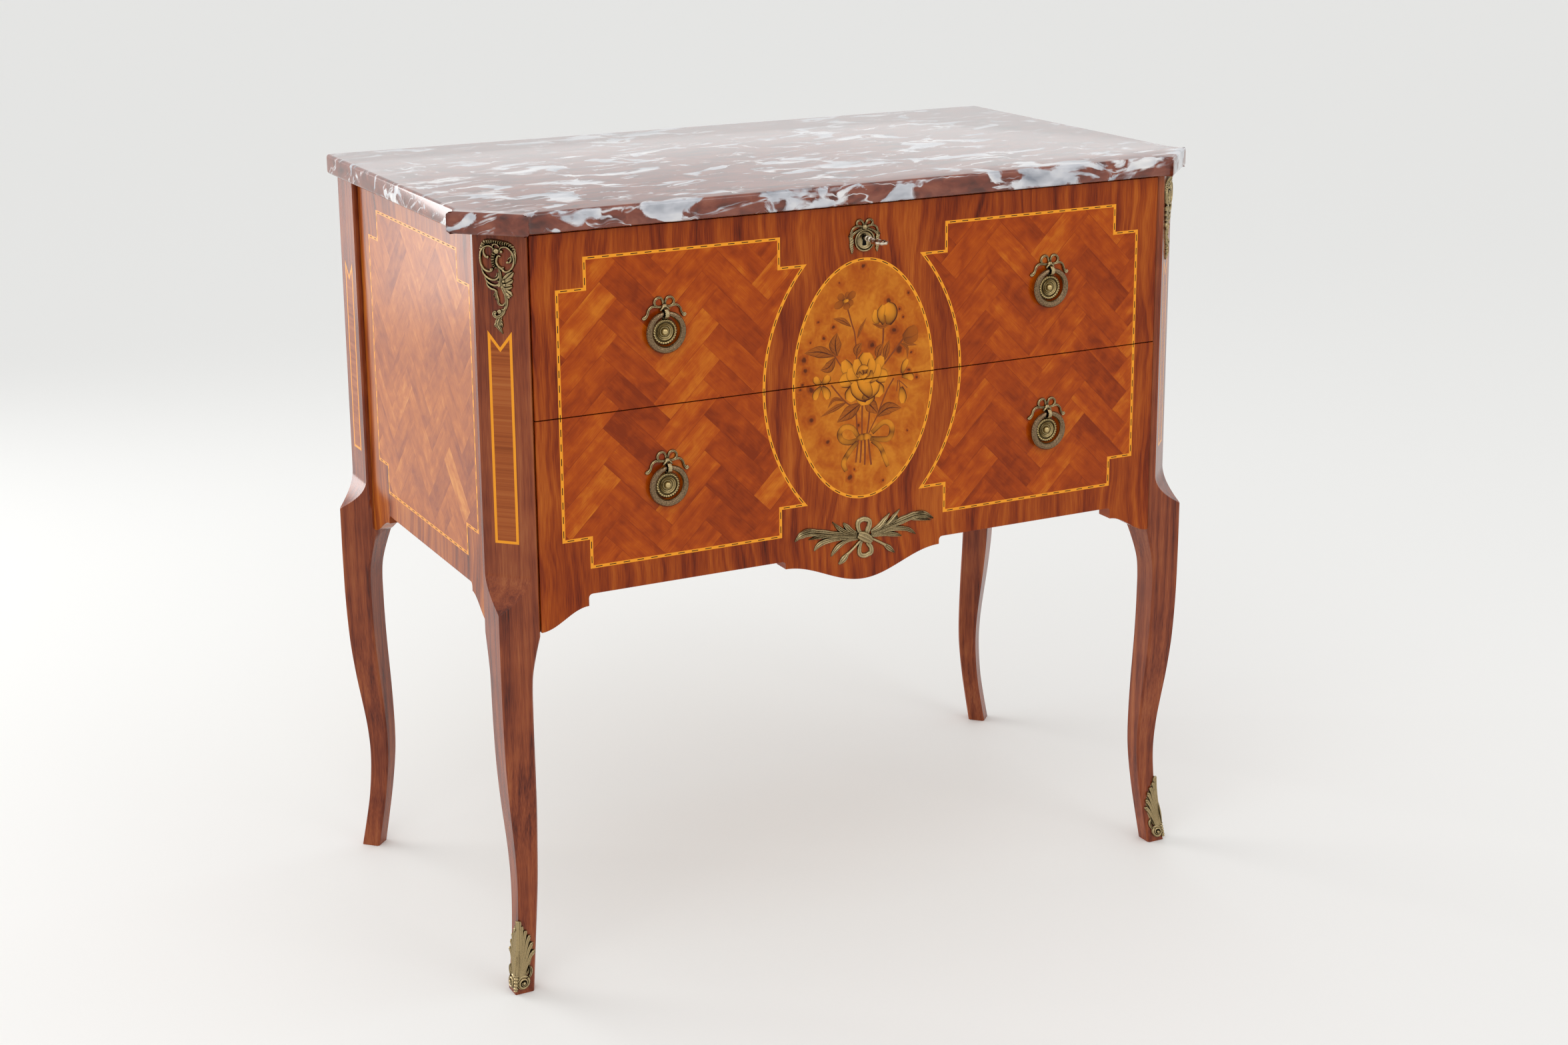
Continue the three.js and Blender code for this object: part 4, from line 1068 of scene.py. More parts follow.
@dataclass
class Piece:
    """One finished object: shells, finishes, the body that it rides on and what it stands for.

    The angle past which edges stay sharp is in degrees. Keep is a level in metres and 1 for what
    lies over it or -1 for what lies under it. Ease rounds the edges by millimetres, those that
    turn by more than its angle."""

    name: str
    body: str
    slot: str
    shells: list[Shell]
    finishes: list[Finish]
    replaces: tuple[str, ...] = ()
    smooth_angle: float = 40.0
    keep: tuple[float, int] | None = None
    ease: float = 0.0
    ease_angle: float = 35.0

    def build(self) -> None:
        """Make the mesh from the shells, dress it and hang it on its body."""
        mesh = bpy.data.meshes.new(self.name)
        solid = bmesh.new()
        chart = any(shell.chart is not None for shell in self.shells)
        if chart:
            solid.loops.layers.uv.new("chart")
        for shell in self.shells:
            self.fill(solid, shell, chart)
        bmesh.ops.remove_doubles(solid, verts=solid.verts, dist=1e-7)
        if self.keep:
            self.clip(solid)
        bmesh.ops.recalc_face_normals(solid, faces=solid.faces)
        solid.to_mesh(mesh)
        solid.free()
        mesh.shade_smooth()
        mesh.set_sharp_from_angle(angle=math.radians(self.smooth_angle))
        self.hang(mesh)

    def fill(self, solid: bmesh.types.BMesh, shell: Shell, chart: bool) -> None:
        """Write one shell into the mesh with its finish and its map.

        Args:
            solid: the mesh that grows.
            shell: the surface to add.
            chart: whether the mesh has a map.
        """
        part = bpy.data.meshes.new("part")
        faces = [face for group in shell.faces for face in group.tolist()]
        part.from_pydata(shell.points.tolist(), [], faces)
        if chart:
            layer = part.uv_layers.new(name="chart")
            corner = np.concatenate([group.ravel() for group in shell.faces])
            values = np.zeros((len(shell.points), 2)) if shell.chart is None else shell.chart
            layer.data.foreach_set("uv", values[corner].astype(np.float32).ravel())
        part.polygons.foreach_set("material_index", np.full(len(faces), shell.finish, np.int32))
        solid.from_mesh(part)
        bpy.data.meshes.remove(part)

    def clip(self, solid: bmesh.types.BMesh) -> None:
        """Keep what lies over or under the level, and close the cut.

        Args:
            solid: the mesh to cut.
        """
        level, side = self.keep
        everything = [*solid.verts, *solid.edges, *solid.faces]
        cut = bmesh.ops.bisect_plane(solid, geom=everything, plane_co=(0, 0, level), plane_no=(0, 0, side),
                                     clear_inner=True)
        edges = [item for item in cut["geom_cut"] if isinstance(item, bmesh.types.BMEdge)]
        bmesh.ops.holes_fill(solid, edges=edges)

    def hang(self, mesh: bpy.types.Mesh) -> None:
        """Dress the mesh, ease its edges and hang it on its body.

        Args:
            mesh: its finished form.
        """
        thing = bpy.data.objects.new(self.name, mesh)
        bpy.context.scene.collection.objects.link(thing)
        for finish in self.finishes:
            mesh.materials.append(finish.build())
        if self.ease:
            bevel = thing.modifiers.new("ease", "BEVEL")
            bevel.width, bevel.segments = self.ease * MM, 2
            bevel.limit_method, bevel.angle_limit = "ANGLE", math.radians(self.ease_angle)
            bevel.use_clamp_overlap, bevel.harden_normals = True, False
        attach(thing, self.body)
        if self.replaces:
            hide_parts(*self.replaces)
        LOG.info("%s: %d faces on %s", self.name, len(mesh.polygons), self.body)


def corner_places(node: str) -> Array:
    """All corners of a CAD node's mesh, in metres.

    Args:
        node: its name.

    Returns:
        An array of places by X, Y and Z.
    """
    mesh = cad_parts[node].data
    values = np.zeros(len(mesh.vertices) * 3, np.float32)
    mesh.vertices.foreach_get("co", values)
    return values.reshape(-1, 3).astype(float)


def topmost(places: Array) -> Array:
    """Those of the places that lie on the highest level."""
    return places[places[:, 2] > places[:, 2].max() - TOUCH]


FRONT_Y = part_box("lower_drawer_front")[0].y
FRONT = Plane((0, FRONT_Y, 0), (1, 0, 0), (0, 0, 1), (0, -1, 0))
FLOOR = Plane((0, FRONT_Y, 0), (1, 0, 0), (0, 1, 0), (0, 0, 1))
# What each drawer keeps of the inlay that runs over both: a level and the side of it.
DRAWERS = {"upper": (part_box("upper_drawer_front")[0].z, 1), "lower": (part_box("lower_drawer_front")[1].z, -1)}


@dataclass
class Posts:
    """The four corner sticks: canted post, lamb's tongue and cabriole leg in one."""

    arris: float = 1.0
    heel_ease: float = 2.0
    edge_ease: float = 0.5
    leg_levels: int = 90
    tongue_levels: int = 26
    edge_places: int = 7
    return_taper: float = 30.0

    def profile(self) -> Array:
        """Read a front stick's levels from the solid: height, outer arris, size and cant.

        Returns:
            A row for each level, in metres.
        """
        corners = np.unique(corner_places("front_right_post").round(7), axis=0)
        rows = []
        for level in np.unique(corners[:, 2].round(6)):
            ring = corners[np.abs(corners[:, 2] - level) < 2e-6]
            outer, inner = ring[:, 0].max(), ring[:, 0].min()
            cant = outer - ring[ring[:, 1] < ring[:, 1].min() + 1e-6][:, 0].max()
            rows.append((level, outer, outer - inner, cant))
        return np.array(rows)

    def rings(self) -> tuple[Array, ...]:
        """Height, outer arris, size and cant at finer levels: the leg's outline is smoothed, and
        the tongue's cant is a parabola of its rise, full times rise times two less rise.

        Returns:
            The four, in metres from the floor up.
        """
        given = self.profile()
        arris = self.arris * MM
        leg_end = int(np.argmax(given[:, 3] > 2 * arris)) - 1
        leg = smooth_path(given[:leg_end, :3], self.leg_levels)
        (height, outer, size, full), start = given[-1], given[leg_end, 0]
        rise = np.linspace(0, 1, self.tongue_levels)
        levels = start + (given[-2, 0] - start) * rise
        cant = np.maximum(arris, full * rise * (2 - rise))
        tongue = np.stack([levels, np.full(len(rise), outer), np.full(len(rise), size), cant], axis=1)
        leg = np.column_stack([leg, np.full(len(leg), arris)])
        return tuple(np.vstack([leg, tongue, [[height, outer, size, full]]]).T)

    def plan(self) -> tuple[Array, Array, Array]:
        """X, Y and Z of the square section at each level, from the full corner as zero: the body
        lies towards minus X and plus Y, the outer corner is canted and the others are eased.

        Returns:
            Arrays of level by place, in metres.
        """
        height, outer, size, cant = self.rings()
        near = outer.max() - outer
        far, ease = near + size, self.heel_ease * MM
        keys = [(-near - cant, near), (-near, near + cant), (-near, far - ease), (-near - ease, far),
                (-far + ease, far), (-far, far - ease), (-far, near + ease), (-far + ease, near)]
        ring = np.stack([np.stack(key, axis=1) for key in keys], axis=1)[:, :, None]
        t = (np.arange(self.edge_places) / self.edge_places)[:, None]
        ring = (ring * (1 - t) + np.roll(ring, -1, axis=1) * t).reshape(len(height), -1, 2)
        return ring[..., 0], ring[..., 1], np.broadcast_to(height[:, None], ring.shape[:2])

    def front(self) -> Shell:
        """Right front stick in place."""
        x, y, z = self.plan()
        return loft(np.stack([x + self.rings()[1].max(), y + FRONT_Y, z], axis=-1))

    def back(self) -> Shell:
        """Right back stick: the same one turned an eighth, its forward corner cut flat above.
        The cut starts at nothing below and comes to its full depth over the taper.

        Returns:
            A closed shell.
        """
        x, y, z = self.plan()
        _, _, size, cant = self.rings()
        solid = corner_places("back_right_post")
        top, taper = topmost(solid), self.return_taper * MM
        shift = solid[:, 1].max() - size[-1] * SLANT
        x, y = (x - y) * SLANT + top[:, 0].max() + cant[-1] * SLANT, (x + y) * SLANT + shift
        corner, cut = shift - size[-1] * SLANT, top[:, 1].min()
        start = solid[np.abs(solid[:, 1] - cut) < 1e-6][:, 2].min() - taper
        rise = np.clip((z - start) / taper, 0, 1)
        y = np.maximum(y, np.where(rise > 0, corner + (cut - corner) * rise, y.min() - 1.0))
        return loft(np.stack([x, y, z], axis=-1))

    def build(self) -> None:
        """Make the four sticks."""
        for end, shell in (("front", self.front()), ("back", self.back())):
            for side, form in hands("right", [shell]):
                Piece(f"{end}_{side}_stick", "carcass", "veneer", form, [ROSEWOOD_POST],
                      (f"{end}_{side}_post",), 30.0, ease=self.edge_ease).build()


@dataclass
class MarbleTop:
    """Slab with an ear over each front corner, its arrises rounded over and polished.

    On a canted edge, across less back comes to the cant's line, in millimetres."""

    ear_proud: float = 12.0
    ear_return: float = 17.0
    cant_line: float = 404.69
    corner: float = 5.0
    arris: float = 3.4
    arris_steps: int = 5
    curve_steps: int = 12

    def half_plan(self, side: float, front: float, back: float) -> Array:
        """Right half from the front's ear to the back corner; each return is a parabola.

        Args:
            side: half the width without the ear.
            front: the front edge without the ear.
            back: the back edge.

        Returns:
            Places across and back from the drawer fronts.
        """
        tip, cant = side + self.ear_proud, self.cant_line
        lip = front - self.ear_proud
        t = np.linspace(0, 1, self.curve_steps)[:, None]
        turns_in = [
            ((cant + lip - self.ear_return, front), (cant + lip, front), (cant + lip, lip)),
            ((tip, tip - cant), (side, tip - cant), (side, tip - cant + self.ear_return)),
        ]
        bends = [(1 - t) ** 2 * np.array(a) + 2 * t * (1 - t) * np.array(b) + t**2 * np.array(c)
                 for a, b, c in turns_in]
        rear = (side, back) - self.corner * (1 - rim(np.linspace(0, TURN / 4, self.curve_steps)))
        return np.vstack([*bends, rear])

    def build(self) -> None:
        """Draw the plan in from the widest line over a quarter round below and above."""
        low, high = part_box("marble_top")
        front, back = (low.y - FRONT_Y) / MM + self.ear_proud, (high.y - FRONT_Y) / MM
        half = self.half_plan(high.x / MM - self.ear_proud, front, back)
        plan = np.vstack([half, (half * (-1, 1))[::-1]])
        rounds = self.arris * (1 - rim(np.linspace(0, TURN / 4, self.arris_steps)))
        levels = [(low.z / MM + rise, draw) for rise, draw in rounds]
        levels += [(high.z / MM - rise, draw) for rise, draw in rounds[::-1]]
        rings = [FLOOR.place(*offset_line(plan, draw, True).T, np.full(len(plan), z)) for z, draw in levels]
        slab = loft(np.stack(rings))
        Piece("marble_slab", "carcass", "marble", [slab], [MARBLE], ("marble_top",), 50.0).build()


@dataclass(frozen=True)
class Ogee:
    """S-curve of a lower edge, level at both ends, between two places across and up a board.

    Both controls lie level with their ends, at a share of the reach r. With t from 0 to 1,
    x = x0 + r (3 s (1-t)^2 t + 3 (1-s) (1-t) t^2 + t^3) and z = z0 + rise (3 (1-t) t^2 + t^3).
    """

    start: Pair
    end: Pair
    share: float = 0.36

    def height(self, across: float) -> float | None:
        """Height of the curve in metres, or nothing beyond its ends.

        Args:
            across: millimetres along the board.

        Returns:
            Metres over the floor.
        """
        (x0, z0), (x1, z1) = self.start, self.end
        if not x0 - 0.01 < across < x1 + 0.01:
            return None
        t = np.linspace(0, 1, 120)
        turn, last = 3 * (1 - t) * t, t**3
        line = x0 + (x1 - x0) * (self.share * turn * (1 - t) + (1 - self.share) * turn * t + last)
        return float(np.interp(across, line, z0 + (z1 - z0) * (turn * t + last))) * MM


@dataclass(frozen=True)
class Board:
    """A board that keeps its solid's shape, with its sharp edges eased and its lower curves
    drawn finer. The curves' zero is in metres, along the board's own way."""

    node: str
    body: str
    finish: Finish
    ogees: tuple[Ogee, ...] = ()
    way: Way = Way.ACROSS
    zero: float = 0.0
    ease: float = 0.5

    def level(self, corner: bmesh.types.BMVert) -> float | None:
        """The curve's height over or under a corner, or nothing where there is no curve."""
        across = (abs(corner.co.x) if self.way is Way.ACROSS else corner.co.y - self.zero) / MM
        return next((h for ogee in self.ogees if (h := ogee.height(across)) is not None), None)

    def steps(self, edge: bmesh.types.BMEdge) -> bool:
        """Whether an edge is one of a curve's straight steps.

        Args:
            edge: an edge of the solid.

        Returns:
            True where both its ends lie on a curve.
        """
        a, b = edge.verts
        span, k = a.co - b.co, self.way.value
        if abs(span[k]) < 3 * MM or abs(span[1 - k]) > 1e-6:
            return False
        levels = [(self.level(end), end.co.z) for end in edge.verts]
        return all(level is not None and abs(level - z) < 0.05 * MM for level, z in levels)

    def build(self) -> None:
        """Copy the solid, cut each step of its curves into five and lift the cuts onto them."""
        solid = bmesh.new()
        solid.from_mesh(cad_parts[self.node].data)
        bmesh.ops.remove_doubles(solid, verts=solid.verts, dist=1e-6)
        bmesh.ops.dissolve_limit(solid, angle_limit=math.radians(0.5), verts=solid.verts, edges=solid.edges)
        if self.ogees:
            chosen = [edge for edge in solid.edges if self.steps(edge)]
            made = bmesh.ops.subdivide_edges(solid, edges=chosen, cuts=4, use_grid_fill=True)
            for item in made["geom_inner"]:
                if isinstance(item, bmesh.types.BMVert) and (level := self.level(item)) is not None:
                    item.co.z = level
        mesh = bpy.data.meshes.new(f"{self.node}_board")
        solid.to_mesh(mesh)
        solid.free()
        Piece(mesh.name, self.body, "veneer", [], [self.finish], (self.node,), ease=self.ease).hang(mesh)


@dataclass
class Case:
    """Boards that keep the solids' own shape, with their finishes."""

    front_ogees: tuple[Ogee, ...] = (
        Ogee((0.0, 401.6), (96.0, 426.7)), Ogee((325.5, 422.7), (379.0, 402.0)))
    side_ogees: tuple[Ogee, ...] = (
        Ogee((45.3, 405.0), (89.3, 428.0)), Ogee((363.16, 428.0), (423.16, 405.0)))
    endings: tuple[tuple[Finish, tuple[str, ...]], ...] = (
        (KINGWOOD_SIDE, ("side_panel",)), (OAK_DEEP, ("side", "runner", "kicker", "stop")),
        (KINGWOOD, ("drawer_front",)), (IRON, ("lock_case", "lock_bolt")), (NICKEL, ("key",)),
        (BRASS, ("nut", "plate", "ring", "mount", "sabot", "escutcheon")),
    )

    def build(self) -> None:
        """Dress each solid by the end of its name, oak where none fits, and make the boards."""
        for name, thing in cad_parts.items():
            finish = next((finish for finish, ends in self.endings if name.endswith(ends)), OAK)
            thing.data.materials.clear()
            thing.data.materials.append(finish.build())
        for side in ("left", "right"):
            Board(f"{side}_side_panel", "carcass", KINGWOOD_SIDE, self.side_ogees, Way.DEEP, FRONT_Y).build()
        for level, ogees in (("upper", ()), ("lower", self.front_ogees)):
            Board(f"{level}_drawer_front", f"{level}_drawer", KINGWOOD, ogees).build()


@dataclass
class FrontMarquetry:
    """Parquetry panels, burr oval and their strings over both drawer fronts."""

    outer: float = 351.6
    shoulder: float = 321.2
    inner: float = 101.9
    tip: float = 72.4
    top: float = 789.3
    notch_top: float = 757.8
    notch_bottom: float = 496.2
    bottom: float = 464.6
    waist: float = 120.5
    oval_centre: Pair = (0.0, 627.0)
    oval_radii: Pair = (85.3, 131.5)
    arc_steps: int = 48
    oval_steps: int = 120

    def legs(self) -> list[Array]:
        """Straight lengths and an arc of a circle round the right panel, from its top left.

        Returns:
            Each leg's places across and up.
        """
        half = (self.notch_top - self.notch_bottom) / 2
        sagitta = self.waist - self.tip
        radius = (half**2 + sagitta**2) / (2 * sagitta)
        reach = math.asin(half / radius)
        middle = (self.waist - radius, (self.notch_top + self.notch_bottom) / 2)
        arc = middle + radius * rim(np.linspace(-reach, reach, self.arc_steps))
        above = [(self.tip, self.notch_top), (self.inner, self.notch_top), (self.inner, self.top),
                 (self.shoulder, self.top), (self.shoulder, self.notch_top), (self.outer, self.notch_top)]
        levels = {self.notch_top: self.notch_bottom, self.top: self.bottom}
        corners = [*above, *((x, levels[z]) for x, z in reversed(above))]
        return [*(np.array(pair, float) for pair in zip(corners, corners[1:])), arc]

    def build(self) -> None:
        """Panels, oval, strings and their dashes, split at the gap between the drawers."""
        string, legs = Stringing(), self.legs()
        angle = np.linspace(0, TURN, self.oval_steps + 1)
        oval = [np.array(self.oval_centre) + np.array(self.oval_radii) * rim(angle)]
        panel, lines = panel_of(legs, FRONT.place), string.dashed(FRONT.place, legs)
        mirrored = [shell.mirrored() for shell in (panel, *lines)]
        parts = (
            ("parquetry", [panel, mirrored[0]], [FRONT_PARQUETRY]),
            ("burr_oval", [panel_of(oval, FRONT.place)], [BURR]),
            ("stringing", [*lines, *mirrored[1:], *string.dashed(FRONT.place, oval)], [BOXWOOD, BLACK_DASH]),
        )
        for drawer, keep in DRAWERS.items():
            for name, shells, finishes in parts:
                Piece(f"{drawer}_{name}", f"{drawer}_drawer", "veneer", shells, finishes, keep=keep).build()


class Cut(Enum):
    """Outlines of inlaid blades: widths from root to tip as shares of the widest."""

    STALK = (1.0, 1.0, 1.0)
    LEAF = (0.08, 0.72, 1.0, 0.62, 0.04)
    BLUNT = (0.4, 0.78, 1.0, 1.0, 0.5)
    ROUND = (0.3, 0.9, 1.05, 0.95, 0.3)
    BAND = (0.8, 1.0, 1.0, 1.0, 0.8)


Blades = tuple[tuple[float, ...], ...]


@dataclass
class Bouquet:
    """Flowers, leaves and a ribbon cut into the oval. Each blade has the places of its line
    across and up, from root to tip, and its greatest width last; a width below zero scorches the
    other edge, and later blades lie over earlier ones."""

    stems: Blades = (
        (-19.8, 706, -15, 690, -11, 676, -8, 640, 1.7), (24, 682, 23, 664, 17, 640, 2.2),
        (50, 668, 38, 655, 25, 641, 2), (-36, 657, -29, 646, -20, 634, 1.6),
        (-40, 625, -32, 615, -21, 603, -6, 594, 1.7), (37, 624, 28, 610, 17, 586, 1.8),
        (-9.5, 590, -8.5, 576, -7, 564, 1.8), (-2, 598, -2.4, 580, -2.4, 564, 2),
        (7.5, 598, 6, 580, 3.5, 564, 2), (17, 585, 11, 575, 6, 566, 1.4), (-7, 560, -8.4, 548, -10, 535, 2),
        (-3, 560, -3.6, 546, -4.6, 534, 2), (1.2, 560, 1.4, 546, 1, 531, 2.2),
        (5.6, 560, 7, 546, 9.2, 530, 2.2), (43, 621, 49, 616, 54, 611, 1),
        (42, 621, 41.5, 615, 40.5, 609, 1), (43.5, 620, 44.6, 615, 45, 609, 1),
    )
    leaves: Blades = (
        (-15.6, 686.5, -26, 694, -37.5, 697.5, 6.5), (-33, 656, -35, 669, -33, 681.5, 15),
        (-36, 656.5, -54, 663, -72, 663.5, 13), (-35, 655, -43, 645, -53, 643, 12),
        (16.5, 648, 18, 657, 24, 664, 9), (25, 644, 27.5, 656, 31.5, 667, 8),
        (-9, 653, -8, 661, -2.5, 667.5, 10), (-8, 673, -4, 683, 3, 694.5, 4),
        (-21, 604, -35, 599, -53, 591.5, 6), (-22, 605, -36, 609, -44.5, 600, 4.5),
        (-3, 601, -18, 592, -33, 583, 15), (1, 603, 9, 596, 18, 586, 14.5),
        (16, 583.5, 30, 591, 46.5, 589.5, 14), (48, 668, 53, 661, 66, 657.5, 5),
        (10.5, 687, 23, 682.5, 36, 687, 4.4), (44.5, 662.5, 53, 656, 54, 644, 4),
    )
    smoked: Blades = (
        (-24, 717, -28, 720, -31, 723, 7.5), (-21.5, 717.5, -20, 721, -19, 725, 6.5),
        (-20, 717, -14.5, 721, -10.5, 723.5, 7.5), (-20.5, 714, -16.5, 712.5, -13, 711, 7),
        (-22.5, 713, -21, 709, -20.5, 705.5, 8), (-24, 714.5, -30, 712, -36, 709, 8),
        (48, 668, 58, 671, 64, 679, 15), (50, 666, 60, 664, 67, 669, 7),
    )
    petals: Blades = (
        (-52, 628, -57, 631, -60, 636, 8), (-51, 628, -46, 631, -43, 636, -9),
        (-52, 625, -58, 618, -60, 611, -8), (-51, 625, -46, 618, -44, 610, 9),
        (47, 628, 50, 636, 54, 643, 7.5), (47, 625, 56, 624, 61, 620, 8),
        (46.5, 613, 48, 604, 48.5, 594.5, 9.5), (19, 687, 14, 692, 14.5, 702, -8),
        (30, 684, 33, 696, 27, 707, -17), (24, 685, 20.5, 696, 24, 706, 9),
        (-5, 633, -18, 638, -25, 650, -14), (6, 634, 17, 641, 22, 650, 13), (-1, 634, 2, 645, 3, 656, 19),
        (-5, 628, -18, 629, -29, 625, 17), (7, 628, 19, 629, 28, 624, -16),
        (-4, 622, -13, 614, -19, 605, -17), (6, 622, 15, 615, 22, 607, 16), (0, 619, 2, 608, 2, 598, 22),
        (-3, 624, -13, 630, -17, 641, -13), (5, 624, 14, 630, 17, 642, 12), (0, 626, -7, 638, -9, 650, -12),
        (2, 626, 9, 637, 9, 649, 11), (4, 603, -5, 612, -14, 624, 15), (-1, 604, 9, 612, 17, 621, -14),
        (8, 606, 3, 616, -6, 629, 14), (-9, 633, -3, 640, 5, 639, 6), (9, 636, 8, 628, 0, 624, -6.5),
        (-6, 636, -2, 630, 4, 632, 5),
    )
    ribbon: Blades = (
        (-8, 560, -18, 558.5, -27, 562, -30, 570, -24, 576.5, -14, 574, -7, 564, 6.5),
        (8, 560, 20, 557.5, 31, 557, 35, 565, 33, 573, 24, 576, 10, 566, 6.5),
        (-8, 558, -18, 548, -25, 537, -22, 527, -6), (10, 557, 20, 549, 26, 536, 30, 525.5, -5.5),
    )
    heart: tuple[float, ...] = (-26, 715, -22.3, 715.4, -19, 716)
    band: tuple[float, ...] = (-8.6, 562.3, 0.4, 562.7, 9.4, 562.3)

    def build(self) -> None:
        """Lay the blades in their order, each a hair higher than the one before, and cut them at
        the gap between the drawers."""
        shells = []
        for rows, cut, proud, step, finish in (
            (self.stems, Cut.STALK, 0.036, 0.0004, 2), (self.leaves, Cut.LEAF, 0.046, 0.0005, 1),
            (self.smoked, Cut.ROUND, 0.056, 0.0005, 3), (self.ribbon, Cut.BAND, 0.062, 0.0008, 4),
            (self.petals, Cut.BLUNT, 0.066, 0.0008, 0),
        ):
            for number, (*line, width) in enumerate(rows):
                widths = [share * width for share in cut.value]
                shells.append(flat_blade(FRONT.place, line, widths, proud + step * number).dressed(finish))
        shells.append(flat_blade(FRONT.place, self.heart, (3, 4.6, 3), 0.088))
        shells.append(flat_blade(FRONT.place, self.band, (3, 7, 7.4, 7, 3), 0.072).dressed(4))
        for drawer, keep in DRAWERS.items():
            Piece(f"{drawer}_bouquet", f"{drawer}_drawer", "veneer", shells,
                  [PETAL, LEAF, STEM, PALE_PETAL, RIBBON], keep=keep).build()


@dataclass
class SideMarquetry:
    """Notched parquetry panel and dashed string on each side of the case."""

    outer: Pair = (63.5, 389.0)
    notch: Pair = (98.0, 358.0)
    top: Pair = (760.0, 792.0)
    bottom: Pair = (499.5, 467.0)

    def build(self) -> None:
        """Panel and string on the right side, mirrored to the left."""
        face = Plane((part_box("right_side_panel")[1].x, FRONT_Y, 0), (0, 1, 0), (0, 0, 1), (1, 0, 0))
        (y0, y1), (n0, n1), (top, peak), (bottom, foot) = self.outer, self.notch, self.top, self.bottom
        legs = legs_round([(n0, peak), (n1, peak), (n1, top), (y1, top), (y1, bottom), (n1, bottom),
                           (n1, foot), (n0, foot), (n0, bottom), (y0, bottom), (y0, top), (n0, top)])
        shells = [panel_of(legs, face.place), *Stringing().dashed(face.place, legs)]
        for side, (panel, *strings) in hands("right", shells):
            Piece(f"{side}_side_parquetry", "carcass", "veneer", [panel], [SIDE_PARQUETRY]).build()
            Piece(f"{side}_side_stringing", "carcass", "veneer", strings, [BOXWOOD, BLACK_DASH]).build()


POST_CANT = 37.0  # millimetres that a front post's cant reaches back from the front


def cant_plane() -> Plane:
    """The left front post's canted face: zero at its side arris, across towards the front."""
    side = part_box("front_left_post")[0].x
    return Plane((side, FRONT_Y + POST_CANT * MM, 0), (SLANT, -SLANT, 0), (0, 0, 1), (-SLANT, -SLANT, 0))


def back_cant_plane() -> Plane:
    """The left back post's canted face, which looks straight to the side.

    Returns:
        The face, zero at its front edge and across towards the back.
    """
    top = topmost(corner_places("back_left_post"))
    edge = top[top[:, 0] < top[:, 0].min() + TOUCH]
    return Plane((edge[0, 0], edge[:, 1].min(), 0), (0, 1, 0), (0, 0, 1), (-1, 0, 0))


@dataclass
class PostStringing:
    """Plain boxwood outline with a V-notched top on each canted face."""

    left: float = 14.5
    right: float = 38.0
    tips: float = 716.0
    notch: float = 701.0
    bottom: float = 499.0
    width: float = 2.9

    def build(self) -> None:
        """The same outline, with cross banding inside, on the four canted faces."""
        legs = legs_round([(self.left, self.tips), ((self.left + self.right) / 2, self.notch),
                           (self.right, self.tips), (self.right, self.bottom), (self.left, self.bottom)])
        for end, plane in (("front", cant_plane()), ("back", back_cant_plane())):
            shells = [Stringing(self.width).line(plane.place, legs), panel_of(legs, plane.place).dressed(1)]
            for side, form in hands("left", shells):
                Piece(f"{end}_{side}_post_string", "carcass", "veneer", form, [BOXWOOD, CROSS_BAND]).build()


